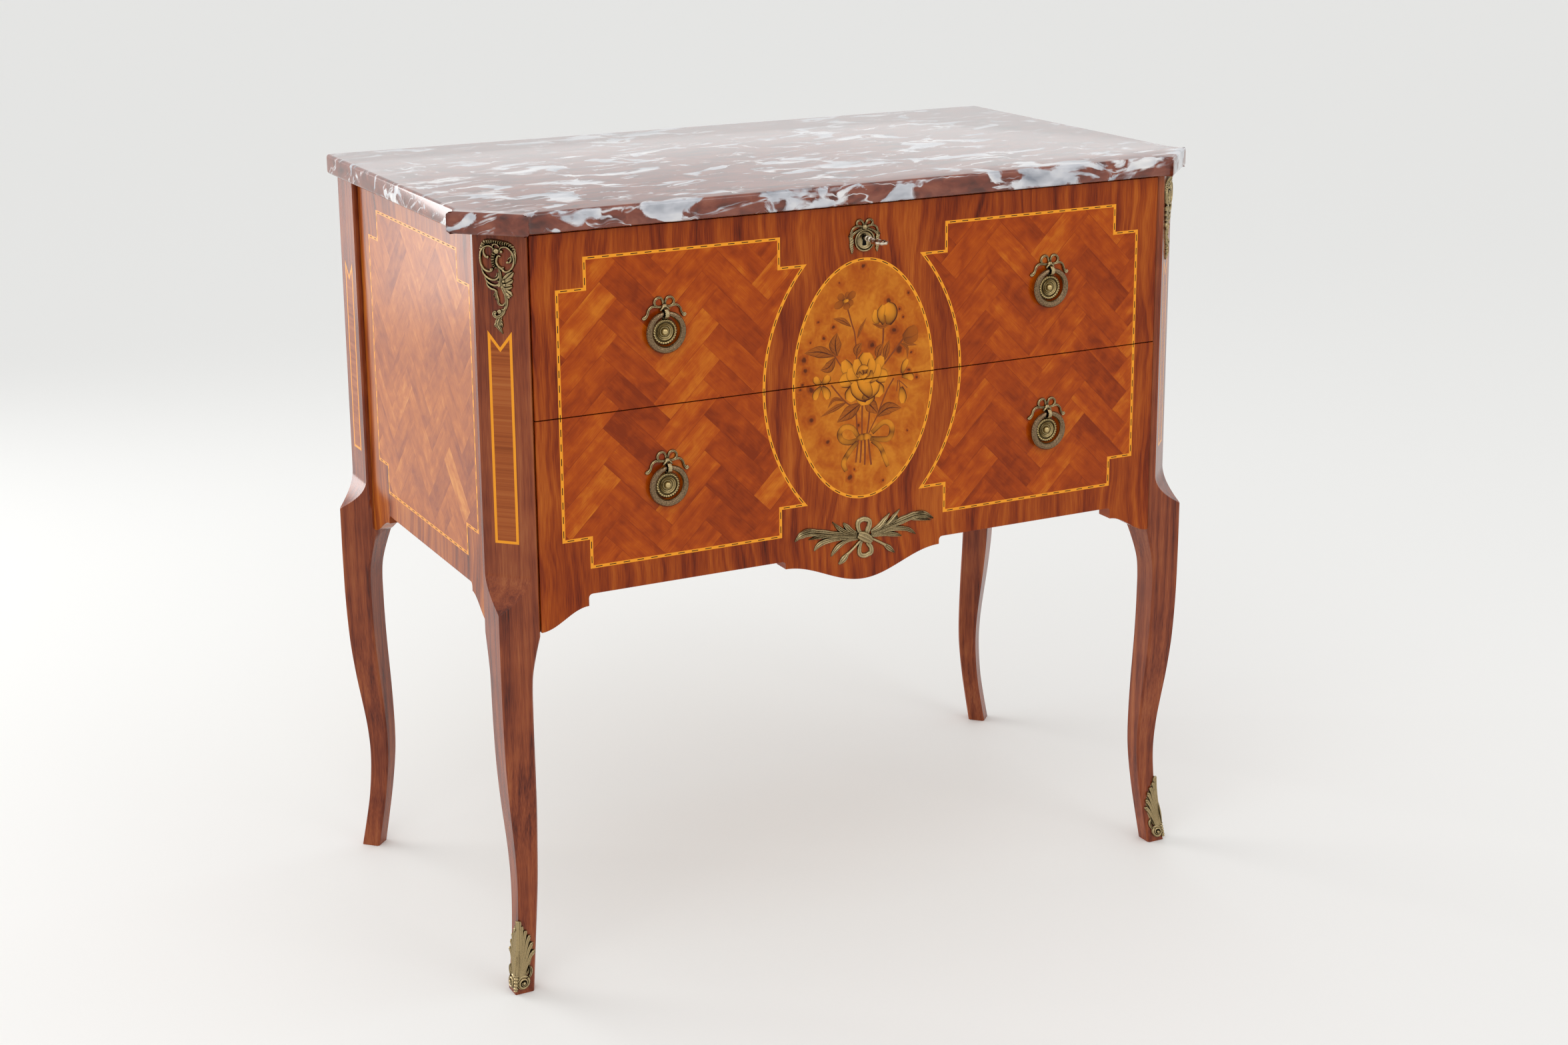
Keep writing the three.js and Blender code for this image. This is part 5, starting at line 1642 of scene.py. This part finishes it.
@dataclass
class RingPull:
    """Rosette with a leafy rim, ribbon bow and eye on the drawer, and a cast ring hung from it.

    Foot is how much fuller the ring is below than at the eye. Reeds run along the ring's bar and
    nicks across it, with depths as shares of its radius."""

    x: float
    z: float
    level: str
    side: str
    tube_radius: float = 2.8
    foot: float = 1.1
    ring_radius: float = 19.7
    ring_reach: float = 5.3
    eye_radius: float = 4.5
    leaves: int = 28
    reeds: int = 8
    reed_depth: float = 0.06
    nicks: int = 66
    nick_depth: float = 0.035

    def rosette(self) -> list[Shell]:
        """Turned boss and fine rings inside a rim whose reach and radius wave as slanted leaves,
        with the stud behind.

        Returns:
            The boss and the rim, in the second finish.
        """
        plate = (0, -28, 2.2, -28, 2.2, -0.2, 10.4, -0.2, 10.4, 1.3, 9.7, 1.4, 9.2, 2.3, 8.7, 1.5, 8,
                 1.3, 7.4, 1.9, 6.9, 1.3, 6.2, 1.1, 5.7, 1.7, 5.2, 1.2, 4.2, 1.2, 3.8, 2.6, 3.1, 4, 1.9,
                 4.8, 0, 5.1)
        edge = (10.2, -0.2, 13.4, -0.2, 13.9, 0.5, 13.9, 1.6, 13.3, 2.6, 12.2, 3.2, 11, 2.8, 10.3, 1.6)
        radius, reach = np.reshape(edge, (-1, 2)).T
        angle = turns(8 * self.leaves)[:, None]
        leaf = 0.5 * np.cos(self.leaves * angle + 0.9 * radius) * (reach > 0)
        wide = radius + 0.3 * leaf
        places = FRONT.place(self.x + wide * np.cos(angle), self.z + wide * np.sin(angle), reach + leaf)
        shells = [lathe(plate, (self.x, self.z)), loft(places, closed=True)]
        return [shell.dressed(1) for shell in shells]

    def bow(self) -> list[Shell]:
        """Two loops, two tails with curled ends, a knot, and a leafy fold over the eye.

        Returns:
            A shell for each strip and for the knot.
        """
        top = self.z + 26.0
        rows = (
            ((1.0, 0.6, 1.5, 6.0, 4.0, 9.6, 8.0, 9.6, 10.8, 6.4, 10.2, 2.4, 6.4, 0.4, 1.2, 0.6),
             (2.6, 3.0, 3.2, 3.0, 2.6), BAND, 0.2),
            ((0.8, 0.4, 6.0, 0.2, 13.0, 1.2, 17.4, -1.8, 19.2, -7.0, 22.2, -10.4, 24.2, -8.8),
             (2.6, 3.0, 3.2, 3.2, 3.4, 4.6, 3.6), BAND, 0.2),
            ((0.2, 0.4, 2.6, -1.0, 5.2, -3.6), (2.8, 3.2, 1.6), STRIP, 2.0),
        )
        made = paired(rows, (self.x, top))
        knot = (0, 0.2, 3, 0.2, 3.4, 2, 2.8, 3.8, 1.4, 4.7, 0, 4.9)
        made.append(lathe(knot, (self.x, top + 0.4), 24, flutes=6, flute_depth=0.5))
        neck = (self.x, self.z + 12.0, self.x, self.z + 17.0, self.x, top)
        made.append(relief(FRONT.place, neck, (4.6, 4.2, 4.6), Carving(2.0, vein=0.3)))
        return made

    def eye(self) -> Shell:
        """Broad leafy shackle that the ring hangs in, in the plane across the front.

        Returns:
            A closed shell.
        """
        ahead, up = rim(turns(48)).T * self.eye_radius
        centres = FRONT.place(self.x, self.z + self.ring_radius + up, self.ring_reach - ahead)
        leaf = 1 + 0.14 * np.cos(12 * turns(48))[:, None]
        return tube(centres, oval_radii(0.9, 2.3, 16) * leaf * MM, (1, 0, 0), 16, closed=True)

    def ring(self) -> Shell:
        """Flattened torus, fuller at the foot, reeded along and finely nicked across like laurel.

        The bar's radius is an ellipse, drawn in by a fifth near the eye by a bell curve, and waved
        by a cosine round the bar and one that winds along it.

        Returns:
            A closed shell.
        """
        steps, sides = 264, 32
        angle, around = turns(steps), turns(sides)
        full = self.tube_radius + self.foot * ((1 - np.cos(angle)) / 2) ** 0.6
        middle = self.ring_radius + self.tube_radius - full
        up, across = rim(angle).T * middle
        centres = FRONT.place(self.x + across, self.z + up, self.ring_reach)
        near_eye = np.exp(-((np.minimum(angle, TURN - angle) / 0.3) ** 2))[:, None]
        slim = 1 - 0.2 * near_eye
        radii = oval_radii(full[:, None] * slim, self.tube_radius * slim, sides)
        work = self.reed_depth * np.cos(self.reeds * around)
        work = work + self.nick_depth * np.cos(self.nicks * angle[:, None] + 2 * around)
        return tube(centres, radii * (0.95 + work * (1 - near_eye)) * MM, (0, 1, 0), sides, closed=True)

    def build(self) -> None:
        """The plate rides on its drawer, the ring on its own body."""
        stem = f"{self.level}_{self.side}_pull"
        shells = [*self.bow(), self.eye(), *self.rosette()]
        Piece(f"{stem}_backplate", f"{self.level}_drawer", "brass", shells, [BRASS, ROSETTE_BRASS],
              (f"{stem}_plate",), 45.0).build()
        Piece(f"{stem}_drop", f"{stem}_ring", "brass", [self.ring()], [RING_BRASS],
              (f"{stem}_ring",), 60.0).build()


Strips = Sequence[tuple[Sequence[float], Sequence[float], Carving, float]]


def paired(rows: Strips, zero: Pair) -> list[Shell]:
    """Strips on the front to the left and to the right of a place.

    Args:
        rows: each strip's places across and up, widths, carving and base height.
        zero: the place that they are measured from.

    Returns:
        A shell for each strip and hand.
    """
    made = []
    for hand in (-1, 1):
        for points, widths, work, base in rows:
            line = np.reshape(points, (-1, 2)) * (hand, 1) + zero
            made.append(relief(FRONT.place, line, widths, work, base))
    return made


@dataclass
class Lockwork:
    """Keyhole plate with its ribbon bow, and the key in it."""

    plate: Pair = (0.0, 779.0)
    hole: Pair = (0.0, 782.0)
    hole_radius: float = 3.1

    def escutcheon(self) -> None:
        """Two moulded rings round a dished plate, a four-looped bow over it and leafy tassels."""
        profile = (0, 0.1, 11.9, 0.1, 12.4, 0.8, 12.2, 2.1, 11.4, 2.8, 10.5, 2.3, 10, 1.4, 9.5, 1.6,
                   8.8, 2.5, 8, 2.3, 7.3, 1.2, 5.2, 0.7, 0, 0.6)
        top = self.plate[1] + 14.0
        rows = (
            ((0.8, 0.4, 1.6, 4.4, 4.0, 7.6, 7.4, 7.9, 9.6, 5.4, 8.4, 2.4, 5.2, 1.2, 1.2, 0.4),
             (2.4, 2.9, 2.9, 2.7, 2.4), BAND, 0.2),
            ((1.0, 0.2, 6.0, 1.8, 11.0, 1.4, 14.6, -1.2, 16.0, -5.4), (2.4, 2.8, 2.8, 3.0, 2.8), BAND, 0.2),
            ((1.6, -0.8, 7.0, -2.4, 11.6, -4.8, 15.2, -8.0), (2.2, 2.8, 3.2, 3.6), BAND, 0.2),
            ((15.6, -4.0, 16.2, -9.0, 15.4, -14.0, 15.8, -19.0, 15.2, -23.0, 15.4, -27.2),
             (3.0, 5.0, 5.4, 5.0, 4.2, 1.6), TASSEL, 0.2),
            ((14.4, -5.0, 17.0, -7.0, 19.4, -8.6), (2.4, 2.8, 0.8), BLADE, 0.2),
        )
        knot = (0, 0.2, 3, 0.2, 3.3, 1.8, 2.4, 3.2, 0, 3.7)
        shells = [lathe(profile, self.plate), *paired(rows, (0, top)),
                  lathe(knot, (0, top + 0.2), 24, flutes=5, flute_depth=0.5), self.keyhole().dressed(1)]
        Piece("keyhole_plate", "upper_drawer", "brass", shells, [BRASS, HOLE], ("escutcheon",), 45.0).build()

    def keyhole(self) -> Shell:
        """The hole itself, a shadowed slab in the shape of a circle over a widening slot.

        Returns:
            A closed shell.
        """
        circle = np.array(self.hole) + self.hole_radius * rim(np.linspace(-1.0, math.pi + 1.0, 20))
        foot = self.plate[1] - 6.6
        return inlay(FRONT.place, np.vstack([circle, [(-2.6, foot), (2.6, foot)]]), 0.85, 0.0)

    def key(self) -> None:
        """Shank and collars turned about the lock's axis, and a pierced cast bow lying level."""
        turned = (0, -31.5, 1.9, -31.5, 2.1, -31, 2.1, 5.6, 3, 6, 3.4, 7, 3, 8, 2.1, 8.5, 2, 12.4, 2.9,
                  13, 3.4, 14, 2.9, 15, 2, 15.6, 1.9, 18, 2.8, 19.4, 2.4, 21, 1.2, 22.2, 0, 22.5)
        flat = (0, 0, 1)
        hoop = rim(turns(72))[:, ::-1] * (7.2, -10.4) + (0, 32.6)
        shells = [lathe(turned, self.hole, 32)]
        centres = FRONT.place(hoop[:, 0], self.hole[1], hoop[:, 1])
        shells.append(tube(centres, (1.5 + 0.35 * np.cos(9 * turns(72))) * MM, flat, 12, closed=True))
        scroll = np.array([(0.0, 23.0), (2.8, 27.0), (4.4, 32.0), (2.8, 36.0), (1.2, 34.6), (2.2, 32.4)])
        taper = np.linspace(1.3, 1.0, 26)
        beads = 1.1 + 0.6 * np.cos(np.linspace(0, 9, 20)) ** 2
        bar = [(0, 21.5), (0, 30.0), (0, 43.0)]
        for points, radii in ((scroll * (-1, 1), taper), (scroll, taper), (bar, beads)):
            path = smooth_path(points, len(radii))
            shells.append(tube(FRONT.place(path[:, 0], self.hole[1], path[:, 1]), radii * MM, flat, 8))
        Piece("turned_key", "key", "steel", shells, [NICKEL], ("key",), 45.0).build()


Castings = tuple[tuple[tuple[float, ...], tuple[float, ...], Carving], ...]


@dataclass
class ApronMount:
    """Crossed acanthus sprays tied by a ribbon on the drop of the lower drawer: places across and
    up, widths and carving of each blade, from a centre that was shifted a little."""

    centre: Pair = (0.7, 0.3)
    rows: Castings = (
        ((-8, 451.5, -30, 455.5, -50, 460, -66, 463.5, -78, 462, -86, 456.5), (5, 8, 9, 9, 8, 1.5), FROND),
        ((-56, 463, -68, 467, -76, 466, -82, 462), (3, 4, 3.6, 1), LEAFLET),
        ((-44, 456.5, -57, 457.2, -69, 456), (4, 5, 1), LEAFLET),
        ((-8, 449.6, -32, 451.6, -48, 451.2, -57, 448, -62.5, 442.5), (4, 5, 7.4, 6.4, 2), LEAFLET),
        ((-8, 448.6, -22, 448, -32, 443.6, -38, 438, -41.5, 433), (4, 5, 6.4, 5.4, 1.6), LEAFLET),
        ((-5, 446, -14, 438.5, -22, 431.8), (3, 3.2, 3.6), STRIP),
        ((-20, 434, -26, 427.6, -32, 422.6), (3, 8, 2.4), LEAFLET),
        ((-8, 452.6, -22, 457, -31, 462.6, -40, 471.6), (4, 6, 6, 1.2), LEAFLET),
        ((-8, 453.4, -16, 458, -22, 463.6, -26.5, 468.6), (4, 6, 7, 2), LEAFLET),
        ((-24, 458, -29, 460.6, -30.5, 464.6), (3, 3.4, 1), LEAFLET),
        ((8, 452, 26, 456, 46, 461, 62, 464.6, 76, 463.6, 87, 458), (5, 7, 9, 9, 8, 1.5), FROND),
        ((50, 464, 62, 467, 72, 467.6, 79, 465), (3, 4, 3.4, 1), LEAFLET),
        ((60, 461, 72, 459.6, 84, 456.4), (4, 5, 1), LEAFLET),
        ((8, 454, 18, 458, 25, 465, 31.5, 471.6), (4, 7, 6, 1.4), LEAFLET),
        ((14, 454.6, 28, 460, 37, 467.6, 44, 474.4), (4, 5.4, 5, 1.2), LEAFLET),
        ((26, 457.6, 36, 462, 42, 467), (3, 4.6, 1), LEAFLET),
        ((8, 450.4, 34, 453, 50, 451.4, 58, 448, 64.5, 443), (4, 6, 6, 5, 1), LEAFLET),
        ((8, 449, 24, 448.8, 37, 446.6, 46.5, 443.6), (4, 5.6, 6, 1.6), LEAFLET),
        ((7, 447, 17, 441.6, 26, 436), (3, 3.6, 4), STRIP),
        ((24, 437.4, 31, 431.6, 38, 425.6), (3, 7, 1.6), LEAFLET),
        ((-4, 452, -8, 460, -7.6, 467, -2, 469.4, 4, 468.4), (5, 5.8, 6.4, 6.2, 5.4), BAND),
        ((-1, 469, 5.6, 467, 6, 461, 3.4, 455, 3, 450), (4.8, 5.8, 6.6, 6.8, 5.8), BAND),
        ((-3, 447, -6.4, 438, -5.6, 430, 1, 427.6, 7.4, 430), (4.4, 5.2, 5.8, 6, 5.4), BAND),
        ((2, 427.6, 8, 430, 8, 436, 4.4, 441, 2, 447), (5.2, 6.2, 6.2, 5.6, 4.6), BAND),
    )
    wrap: tuple[float, ...] = (-8.6, 453, -3.8, 451, 0.4, 448.8, 4.6, 446.2, 8.6, 443)

    def build(self) -> None:
        """Each leaf is a reeded blade that ends in tips; the ribbon loops once up and once down."""
        rows = [(*row, 0.1) for row in self.rows] + [(self.wrap, (8, 11.4, 12.6, 11.4, 8), KNOT, 0.6)]
        shells = [relief(FRONT.place, np.reshape(line, (-1, 2)) + self.centre, *rest) for line, *rest in rows]
        Piece("apron_sprays", "lower_drawer", "brass", shells, [BRASS], ("apron_mount",), 50.0).build()


@dataclass
class CornerMount:
    """Pierced scroll mount at the head of a canted post: C-scrolls, shell crest, leafy tail.

    Knobs are the places of round bosses with their radius and height."""

    rows: Castings = (
        ((9.6, 799, 10.5, 805, 14, 810, 19, 811, 24, 811.2, 29, 810.6, 34, 809.8, 39, 809, 43.5, 806, 46,
         801, 46.8, 795), (2.5, 4.5, 5.6, 5.6, 5, 5.6, 5.6, 5, 4, 3, 1.5), CREST),
        ((22.4, 806.2, 24.4, 808.8, 27.6, 808.8, 29.8, 806), (2, 2.4, 2.4, 2), Carving(3.8)),
        ((23.2, 801.5, 22.3, 805, 18, 806.8, 13, 805, 10, 801, 9, 795, 9.6, 788, 12.5, 783.2, 16.5, 781, 20,
         781.4, 21.6, 783.6, 19.6, 784), (2, 2.4, 2.6, 2.6, 2.6, 2.6, 2.8, 3, 3.2, 3, 2.4, 1.8),
         Carving(3.0, count=70)),
        ((14.5, 806, 12.6, 802, 13, 798, 15.2, 795.4, 18, 795), (1.8, 2.4, 3, 3.4, 1.8), STRIP),
        ((26, 804.5, 24.4, 800.5, 22.8, 796, 22.4, 791, 23.6, 787, 26.4, 784.2), (6, 6, 5.4, 5.2, 4.8, 3.6),
         RIBBED),
        ((31, 796.5, 28.4, 797, 26.6, 793.5, 26.6, 789.5, 28.6, 786.6, 31.2, 784.4, 34, 782.4), (2.4, 2.8,
         3, 3, 3, 3.2, 2.4), Carving(3.2)),
        ((31.4, 800.4, 30, 803.2, 32.5, 805.8, 37, 806.2, 41.5, 803.4, 44.4, 798.5, 45.2, 792.5, 43.6,
         786.6, 40, 782.6, 36, 781.2, 32.8, 782.6, 32.2, 785, 34.4, 785.2), (2.4, 2.6, 2.6, 2.6, 2.6, 2.6,
         2.6, 2.6, 2.8, 3, 2.8, 2.4, 1.8), Carving(3.0, count=76)),
        ((44, 803, 46.6, 797, 46.4, 789.4), (2.2, 2.8, 1), BLADE),
        ((44.2, 802, 42.6, 797.5, 42.4, 793.4, 40.2, 791, 37.6, 790.9), (1.8, 2.6, 2.8, 3, 2.4), STRIP),
        ((42.8, 796.5, 40.6, 795.6, 38.6, 793.6), (1.8, 2, 1.4), STRIP),
        ((10, 785, 11.6, 779.4, 15, 775.4, 20, 772.8, 25, 773, 28.2, 776, 28.8, 780.2), (1.4, 2.6, 3, 3, 3,
         3, 2.2), Carving(3.0, count=50)),
        ((24, 775.2, 26.4, 777, 26.8, 780), (1.4, 2, 1.4), STRIP),
        ((13, 777.6, 14.6, 772, 18.5, 768.6, 23.5, 767, 27.6, 768, 28.8, 770.8, 26.8, 771.4), (1.4, 2.6, 3,
         3.2, 3.2, 2.8, 2), Carving(2.8, count=50)),
        ((14.4, 771, 16, 766.4, 19.6, 763.6, 23.6, 762.4, 25, 760.6), (1.4, 2.6, 3, 2.8, 2.4), STRIP),
        ((27.8, 786.4, 29.4, 781, 29.9, 774, 30.4, 768.5, 33, 763, 35.2, 757, 35.6, 750.5, 34.6, 745.5,
         32.6, 741.5), (2.6, 3.4, 4, 4.8, 5.2, 4.6, 4.2, 3.8, 3), Carving(2.8, vein=0.3, count=66,
         across=11)),
        ((31, 770.6, 36, 774.6, 40.6, 778.6, 43.8, 781.6), (5, 7.8, 7.4, 3.2), PETALLED),
        ((31, 768, 36.2, 770, 40.4, 772.2, 43, 773.8), (5, 7.4, 7, 3.2), PETALLED),
        ((31.6, 765.4, 35.8, 765.6, 39.6, 766.4, 42.4, 767.2), (5, 7, 6.6, 3), PETALLED),
        ((32.4, 762.6, 36, 760.8, 39, 758.8, 41.6, 756.8), (5, 7.4, 7, 3), PETALLED),
        ((24.6, 761.4, 24.8, 757, 26.4, 752.6, 27, 748.6, 30, 746.6), (3.2, 3.8, 3.4, 3, 2.6), BAND),
        ((25, 759.6, 23, 757.4, 21.8, 755.2), (2.4, 2.8, 0.8), BLADE),
        ((25.8, 756.4, 24.6, 754, 23.8, 752), (2.4, 2.6, 0.8), BLADE),
        ((29.4, 747, 32.4, 747.6, 34.6, 750.6), (2.4, 2.8, 1.6), Carving(3.2)),
        ((30.2, 742.6, 33.2, 743.2, 35.2, 747), (2.4, 3, 1.8), Carving(3.2)),
        ((33, 743, 31, 738.4, 27, 735.4, 23.6, 735.2, 21.4, 737.4, 22.6, 739.8, 24.4, 738.8), (3.6, 4.2,
         4.6, 4.4, 4, 3.4, 2.8), Carving(3.2, vein=0.25, count=50)),
        ((28.6, 736, 26.4, 731.5, 25.4, 727, 27.6, 722.6, 30.2, 717.8), (4.4, 7, 7, 4.8, 1), Carving(2.8,
         reeds=3, ends=(0.8, 1.1, 1.0, 0.4), count=40, across=19)),
        ((26, 730.4, 23.6, 727.2, 21.4, 724.4), (4.4, 4.4, 1), BLADE),
        ((27, 730, 29.2, 727.6, 30.6, 724.8), (3.6, 3.8, 1), BLADE),
        ((26, 733, 28.6, 731.6, 30.8, 729.4), (3.2, 3.2, 1), BLADE),
    )
    knobs: tuple[Quad, ...] = (
        (26.8, 801.8, 3, 4), (31.9, 801.4, 1.7, 3.4), (28.6, 767.2, 1.9, 3.6), (33.4, 771.4, 1.7, 3.4),
        (34.2, 767.8, 1.7, 3.4), (31.6, 765.6, 1.7, 3.2), (28, 740.6, 2.5, 3.4), (20.4, 783.2, 1.4, 3.4),
        (17, 795.4, 1.6, 3.2), (38.2, 791, 1.5, 3.2), (23.2, 738.4, 1.6, 3.4), (38.4, 755.8, 1.6, 3.2),
    )

    def build(self) -> None:
        """Scrolls are round-backed strips; the crest is ribbed; crescents and leaves hang below."""
        place = cant_plane().place
        shells = [relief(place, *row) for row in self.rows]
        for u, v, radius, tall in self.knobs:
            dome = (0, 0.1, radius, 0.1, radius, 0.6 * tall, 0.72 * radius, 0.9 * tall, 0, tall)
            shells.append(lathe(dome, (u, v), 16, place))
        for side, form in hands("left", shells):
            Piece(f"{side}_corner_scrolls", "carcass", "brass", form, [BRASS],
                  (f"{side}_corner_mount",), 50.0).build()


@dataclass
class Sabot:
    """Leaf shoe over the outer corner of a front foot, with a volute on each face.

    Ribs are the tips of its flutes, across and up, and root the height that they grow from."""

    ribs: tuple[Pair, ...] = (
        (0.2, 79.8), (2.8, 74.0), (7.4, 68.4), (11.8, 61.4), (15.2, 53.0), (17.8, 44.0))
    root: float = 19.0
    curl: float = 1.4
    volute: Pair = (7.8, 12.4)

    def faces(self) -> tuple[Placer, Placer]:
        """Placers for the front and the side face of the right foot, which follow the leg.

        Returns:
            The front one, then the side one.
        """
        height, outer, _, _ = Posts().rings()
        half = outer.max()

        def face(u: Array, v: Array, h: Array, front: bool) -> Array:
            """Places on the foot, whose arris is drawn in from the full corner as the leg's is.

            Args:
                u: across from the arris, to the middle on the front and back on the side.
                v: height over the floor.
                h: reach out of the face.
                front: whether the face is the front one.

            Returns:
                The places in metres.
            """
            u, v, h = (np.asarray(c) * MM for c in np.broadcast_arrays(u, v, h))
            inward = half - np.interp(v, height, outer)
            x, y = (-u, -h) if front else (h, u)
            return np.stack([half - inward + x, FRONT_Y + inward + y, v], axis=-1)

        return partial(face, front=True), partial(face, front=False)

    def face_shells(self, place: Placer) -> list[Shell]:
        """Touching flutes that fan out and curl over at their tips, the volute and its leaf.

        Args:
            place: puts across, up and out values on the foot's face.

        Returns:
            The shells of one face.
        """
        body = (3.2, 10, 5.4, 30, 7.0, 46, 5.6, 60, 1.4, 77)
        shells = [relief(place, body, (8, 17, 20, 17, 9, 1), Carving(1.5, ends=(1, 1), count=40), 0.0)]
        for number, tip in enumerate(np.array(self.ribs)):
            root = np.array((1.0 + 1.5 * number, self.root))
            lean = np.array([(0.0, 0.0), (0.2, 0.4), (0.5, 0.74), (0.84, 0.94), (1.0, 1.0)])
            curl = self.curl if number > 2 else 0.0
            points = np.vstack([root + (tip - root) * lean, tip + (curl, -0.8 * curl)])
            shells.append(relief(place, points, (3.0, 3.8, 5.0, 5.6, 3.6, 0.5), FLUTE, 0.7))
        turn = np.linspace(0, 1, 18)
        roll = self.volute + (6.1 - 3.9 * turn)[:, None] * rim(0.9 - 1.7 * TURN * turn)
        back = (0, 0, 7.2, 0, 7.7, 0.8, 7.3, 1.8, 6.4, 2.1, 0, 2.1)
        boss = (0, 0.1, 1.9, 0.1, 1.9, 3.6, 1.3, 4.8, 0, 5.2)
        return [
            *shells, lathe(back, self.volute, 48, place), lathe(boss, self.volute, 20, place),
            relief(place, roll, (3.4, 3.2, 2.9, 2.5, 2.1), Carving(2.7, ends=(0.8, 1, 1, 1), count=90), 1.2),
            relief(place, (13.0, 15, 15.6, 20.6, 15.4, 26, 13.0, 29.4), (3, 4, 3.4, 1), BLADE, 0.2),
            relief(place, (9.0, 19.4, 12.0, 23.4, 13.0, 27.6), (2.6, 3, 1), BLADE, 0.4),
        ]

    def build(self) -> None:
        """Both faces of the right foot with a stem and a reeded round on the arris, mirrored."""
        front, side = self.faces()
        shells = [*self.face_shells(front), *self.face_shells(side)]
        rise, foot = np.linspace(20.0, 79.0, 50), np.linspace(4.2, 21.0, 72)
        outward = (0.7, 0.7, 0)
        shells.append(tube(front(0.3, rise, 0.3), np.linspace(2.2, 0.4, 50) * MM, outward))
        shells.append(tube(front(0.0, foot, 0.0), (2.4 + 0.4 * np.cos(TURN * foot / 3.4)) * MM, outward, 16))
        screw = (0, 1, 2, 1, 2, 3.2, 1.6, 3.8, 0, 4)
        shells.append(lathe(screw, (2.8, 70.0), 20, side))
        for hand, form in hands("right", shells):
            Piece(f"{hand}_leaf_shoe", "carcass", "brass", form, [BRASS], (f"{hand}_sabot",), 50.0).build()


@dataclass(frozen=True)
class Lamp:
    """A soft square lamp: place and size in metres, power in watts, spread in degrees."""

    place: Triple
    size: float
    power: float
    spread: float


@dataclass
class Studio:
    """Pale floor, soft lamps and the camera at the photograph's view.

    The camera's angles are in degrees, its focal length and level in the photograph's pixels."""

    eye: Triple = (-1.23244, -2.43440, 1.24303)
    yaw: float = 27.143
    pitch: float = -14.077
    roll: float = -0.404
    focal_pixels: float = 3631.553
    image: tuple[int, int] = (2352, 1568)
    principal_y: float = 595.731
    sensor: float = 36.0
    floor_half: float = 40.0
    daylight: float = 0.86
    lamps: tuple[Lamp, ...] = (
        Lamp((-2.2, 2.6, 0.9), 2.0, 21.0, 100.0), Lamp((1.4, -3.2, 2.6), 1.6, 12.0, 180.0),
        Lamp((-1.6, -1.6, 3.0), 1.6, 13.0, 180.0),
    )
    aim: Triple = (0.0, 0.0, 0.5)

    def camera(self) -> None:
        """Set the camera from its fitted yaw, pitch, roll and focal length."""
        yaw, pitch, roll = (math.radians(a) for a in (self.yaw, self.pitch, self.roll))
        ahead = np.array([math.sin(yaw) * math.cos(pitch), math.cos(yaw) * math.cos(pitch), math.sin(pitch)])
        level = np.array([math.cos(yaw), -math.sin(yaw), 0.0])
        up = np.cross(level, ahead)
        right = level * math.cos(roll) + up * math.sin(roll)
        top = up * math.cos(roll) - level * math.sin(roll)
        data = bpy.data.cameras.new("camera")
        data.sensor_width = self.sensor
        data.lens = self.focal_pixels * self.sensor / self.image[0]
        data.shift_y = (self.principal_y - self.image[1] / 2) / self.image[0]
        data.clip_end = 100.0
        thing = bpy.data.objects.new("camera", data)
        axes = np.eye(4)
        axes[:3] = np.column_stack([right, top, -ahead, self.eye])
        thing.matrix_world = Matrix(axes.tolist())
        bpy.context.scene.collection.objects.link(thing)
        bpy.context.scene.camera = thing

    def floor(self) -> None:
        """A wide pale sheet that keeps the chest's shadow."""
        square = self.floor_half * np.array([(-1, -1), (1, -1), (1, 1), (-1, 1)])
        shell = loft(np.stack([np.column_stack([square, np.full(4, z)]) for z in (-0.01, 0.0)]))
        mesh = bpy.data.meshes.new("floor")
        mesh.from_pydata(shell.points.tolist(), [], [f for group in shell.faces for f in group.tolist()])
        thing = bpy.data.objects.new("floor", mesh)
        mesh.materials.append(Plain("painted_floor", "f3f3f1", 0.6, 0.98).build())
        bpy.context.scene.collection.objects.link(thing)

    def light(self) -> None:
        """White world for the eye and the polish, dimmer for the light itself, and soft lamps."""
        world = bpy.data.worlds.new("studio")
        world.use_nodes = True
        path = add(world.node_tree, "ShaderNodeLightPath", {}).outputs
        seen = Field(path["Is Camera Ray"]) + Field(path["Is Glossy Ray"])
        seen = (seen + Field(path["Is Transmission Ray"])).math("MINIMUM", 1.0)
        strength = seen * (1.0 - self.daylight) + self.daylight
        wire(world.node_tree.nodes["Background"], {"Color": (1.0, 1.0, 1.0, 1.0), "Strength": strength})
        bpy.context.scene.world = world
        for number, lamp in enumerate(self.lamps):
            data = bpy.data.lights.new(f"lamp_{number}", "AREA")
            data.size, data.energy, data.spread = lamp.size, lamp.power, math.radians(lamp.spread)
            thing = bpy.data.objects.new(f"lamp_{number}", data)
            turn = (Vector(self.aim) - Vector(lamp.place)).to_track_quat("-Z", "Y").to_matrix().to_4x4()
            thing.matrix_world = Matrix.Translation(lamp.place) @ turn
            thing.visible_camera = False
            bpy.context.scene.collection.objects.link(thing)
        bpy.context.scene.view_settings.view_transform = "Standard"

    def build(self) -> None:
        """Camera, floor and light."""
        self.camera()
        self.floor()
        self.light()


# Where the rosettes stand on the drawers.
PULL_SPREAD = 234.5
PULL_HEIGHTS = {"upper": 705.0, "lower": 541.4}


def main() -> None:
    """Build the chest from the case outwards."""
    logging.basicConfig(level=logging.INFO, format="%(name)s %(message)s")
    works = Lockwork()
    pulls = [RingPull(sign * PULL_SPREAD, height, level, side) for level, height in PULL_HEIGHTS.items()
             for side, sign in (("left", -1), ("right", 1))]
    for part in (Studio(), Case(), Posts(), MarbleTop(), FrontMarquetry(), Bouquet(), SideMarquetry(),
                 PostStringing(), *pulls):
        part.build()
    works.escutcheon()
    works.key()
    for part in (ApronMount(), CornerMount(), Sabot()):
        part.build()


if __name__ == "__main__":
    main()
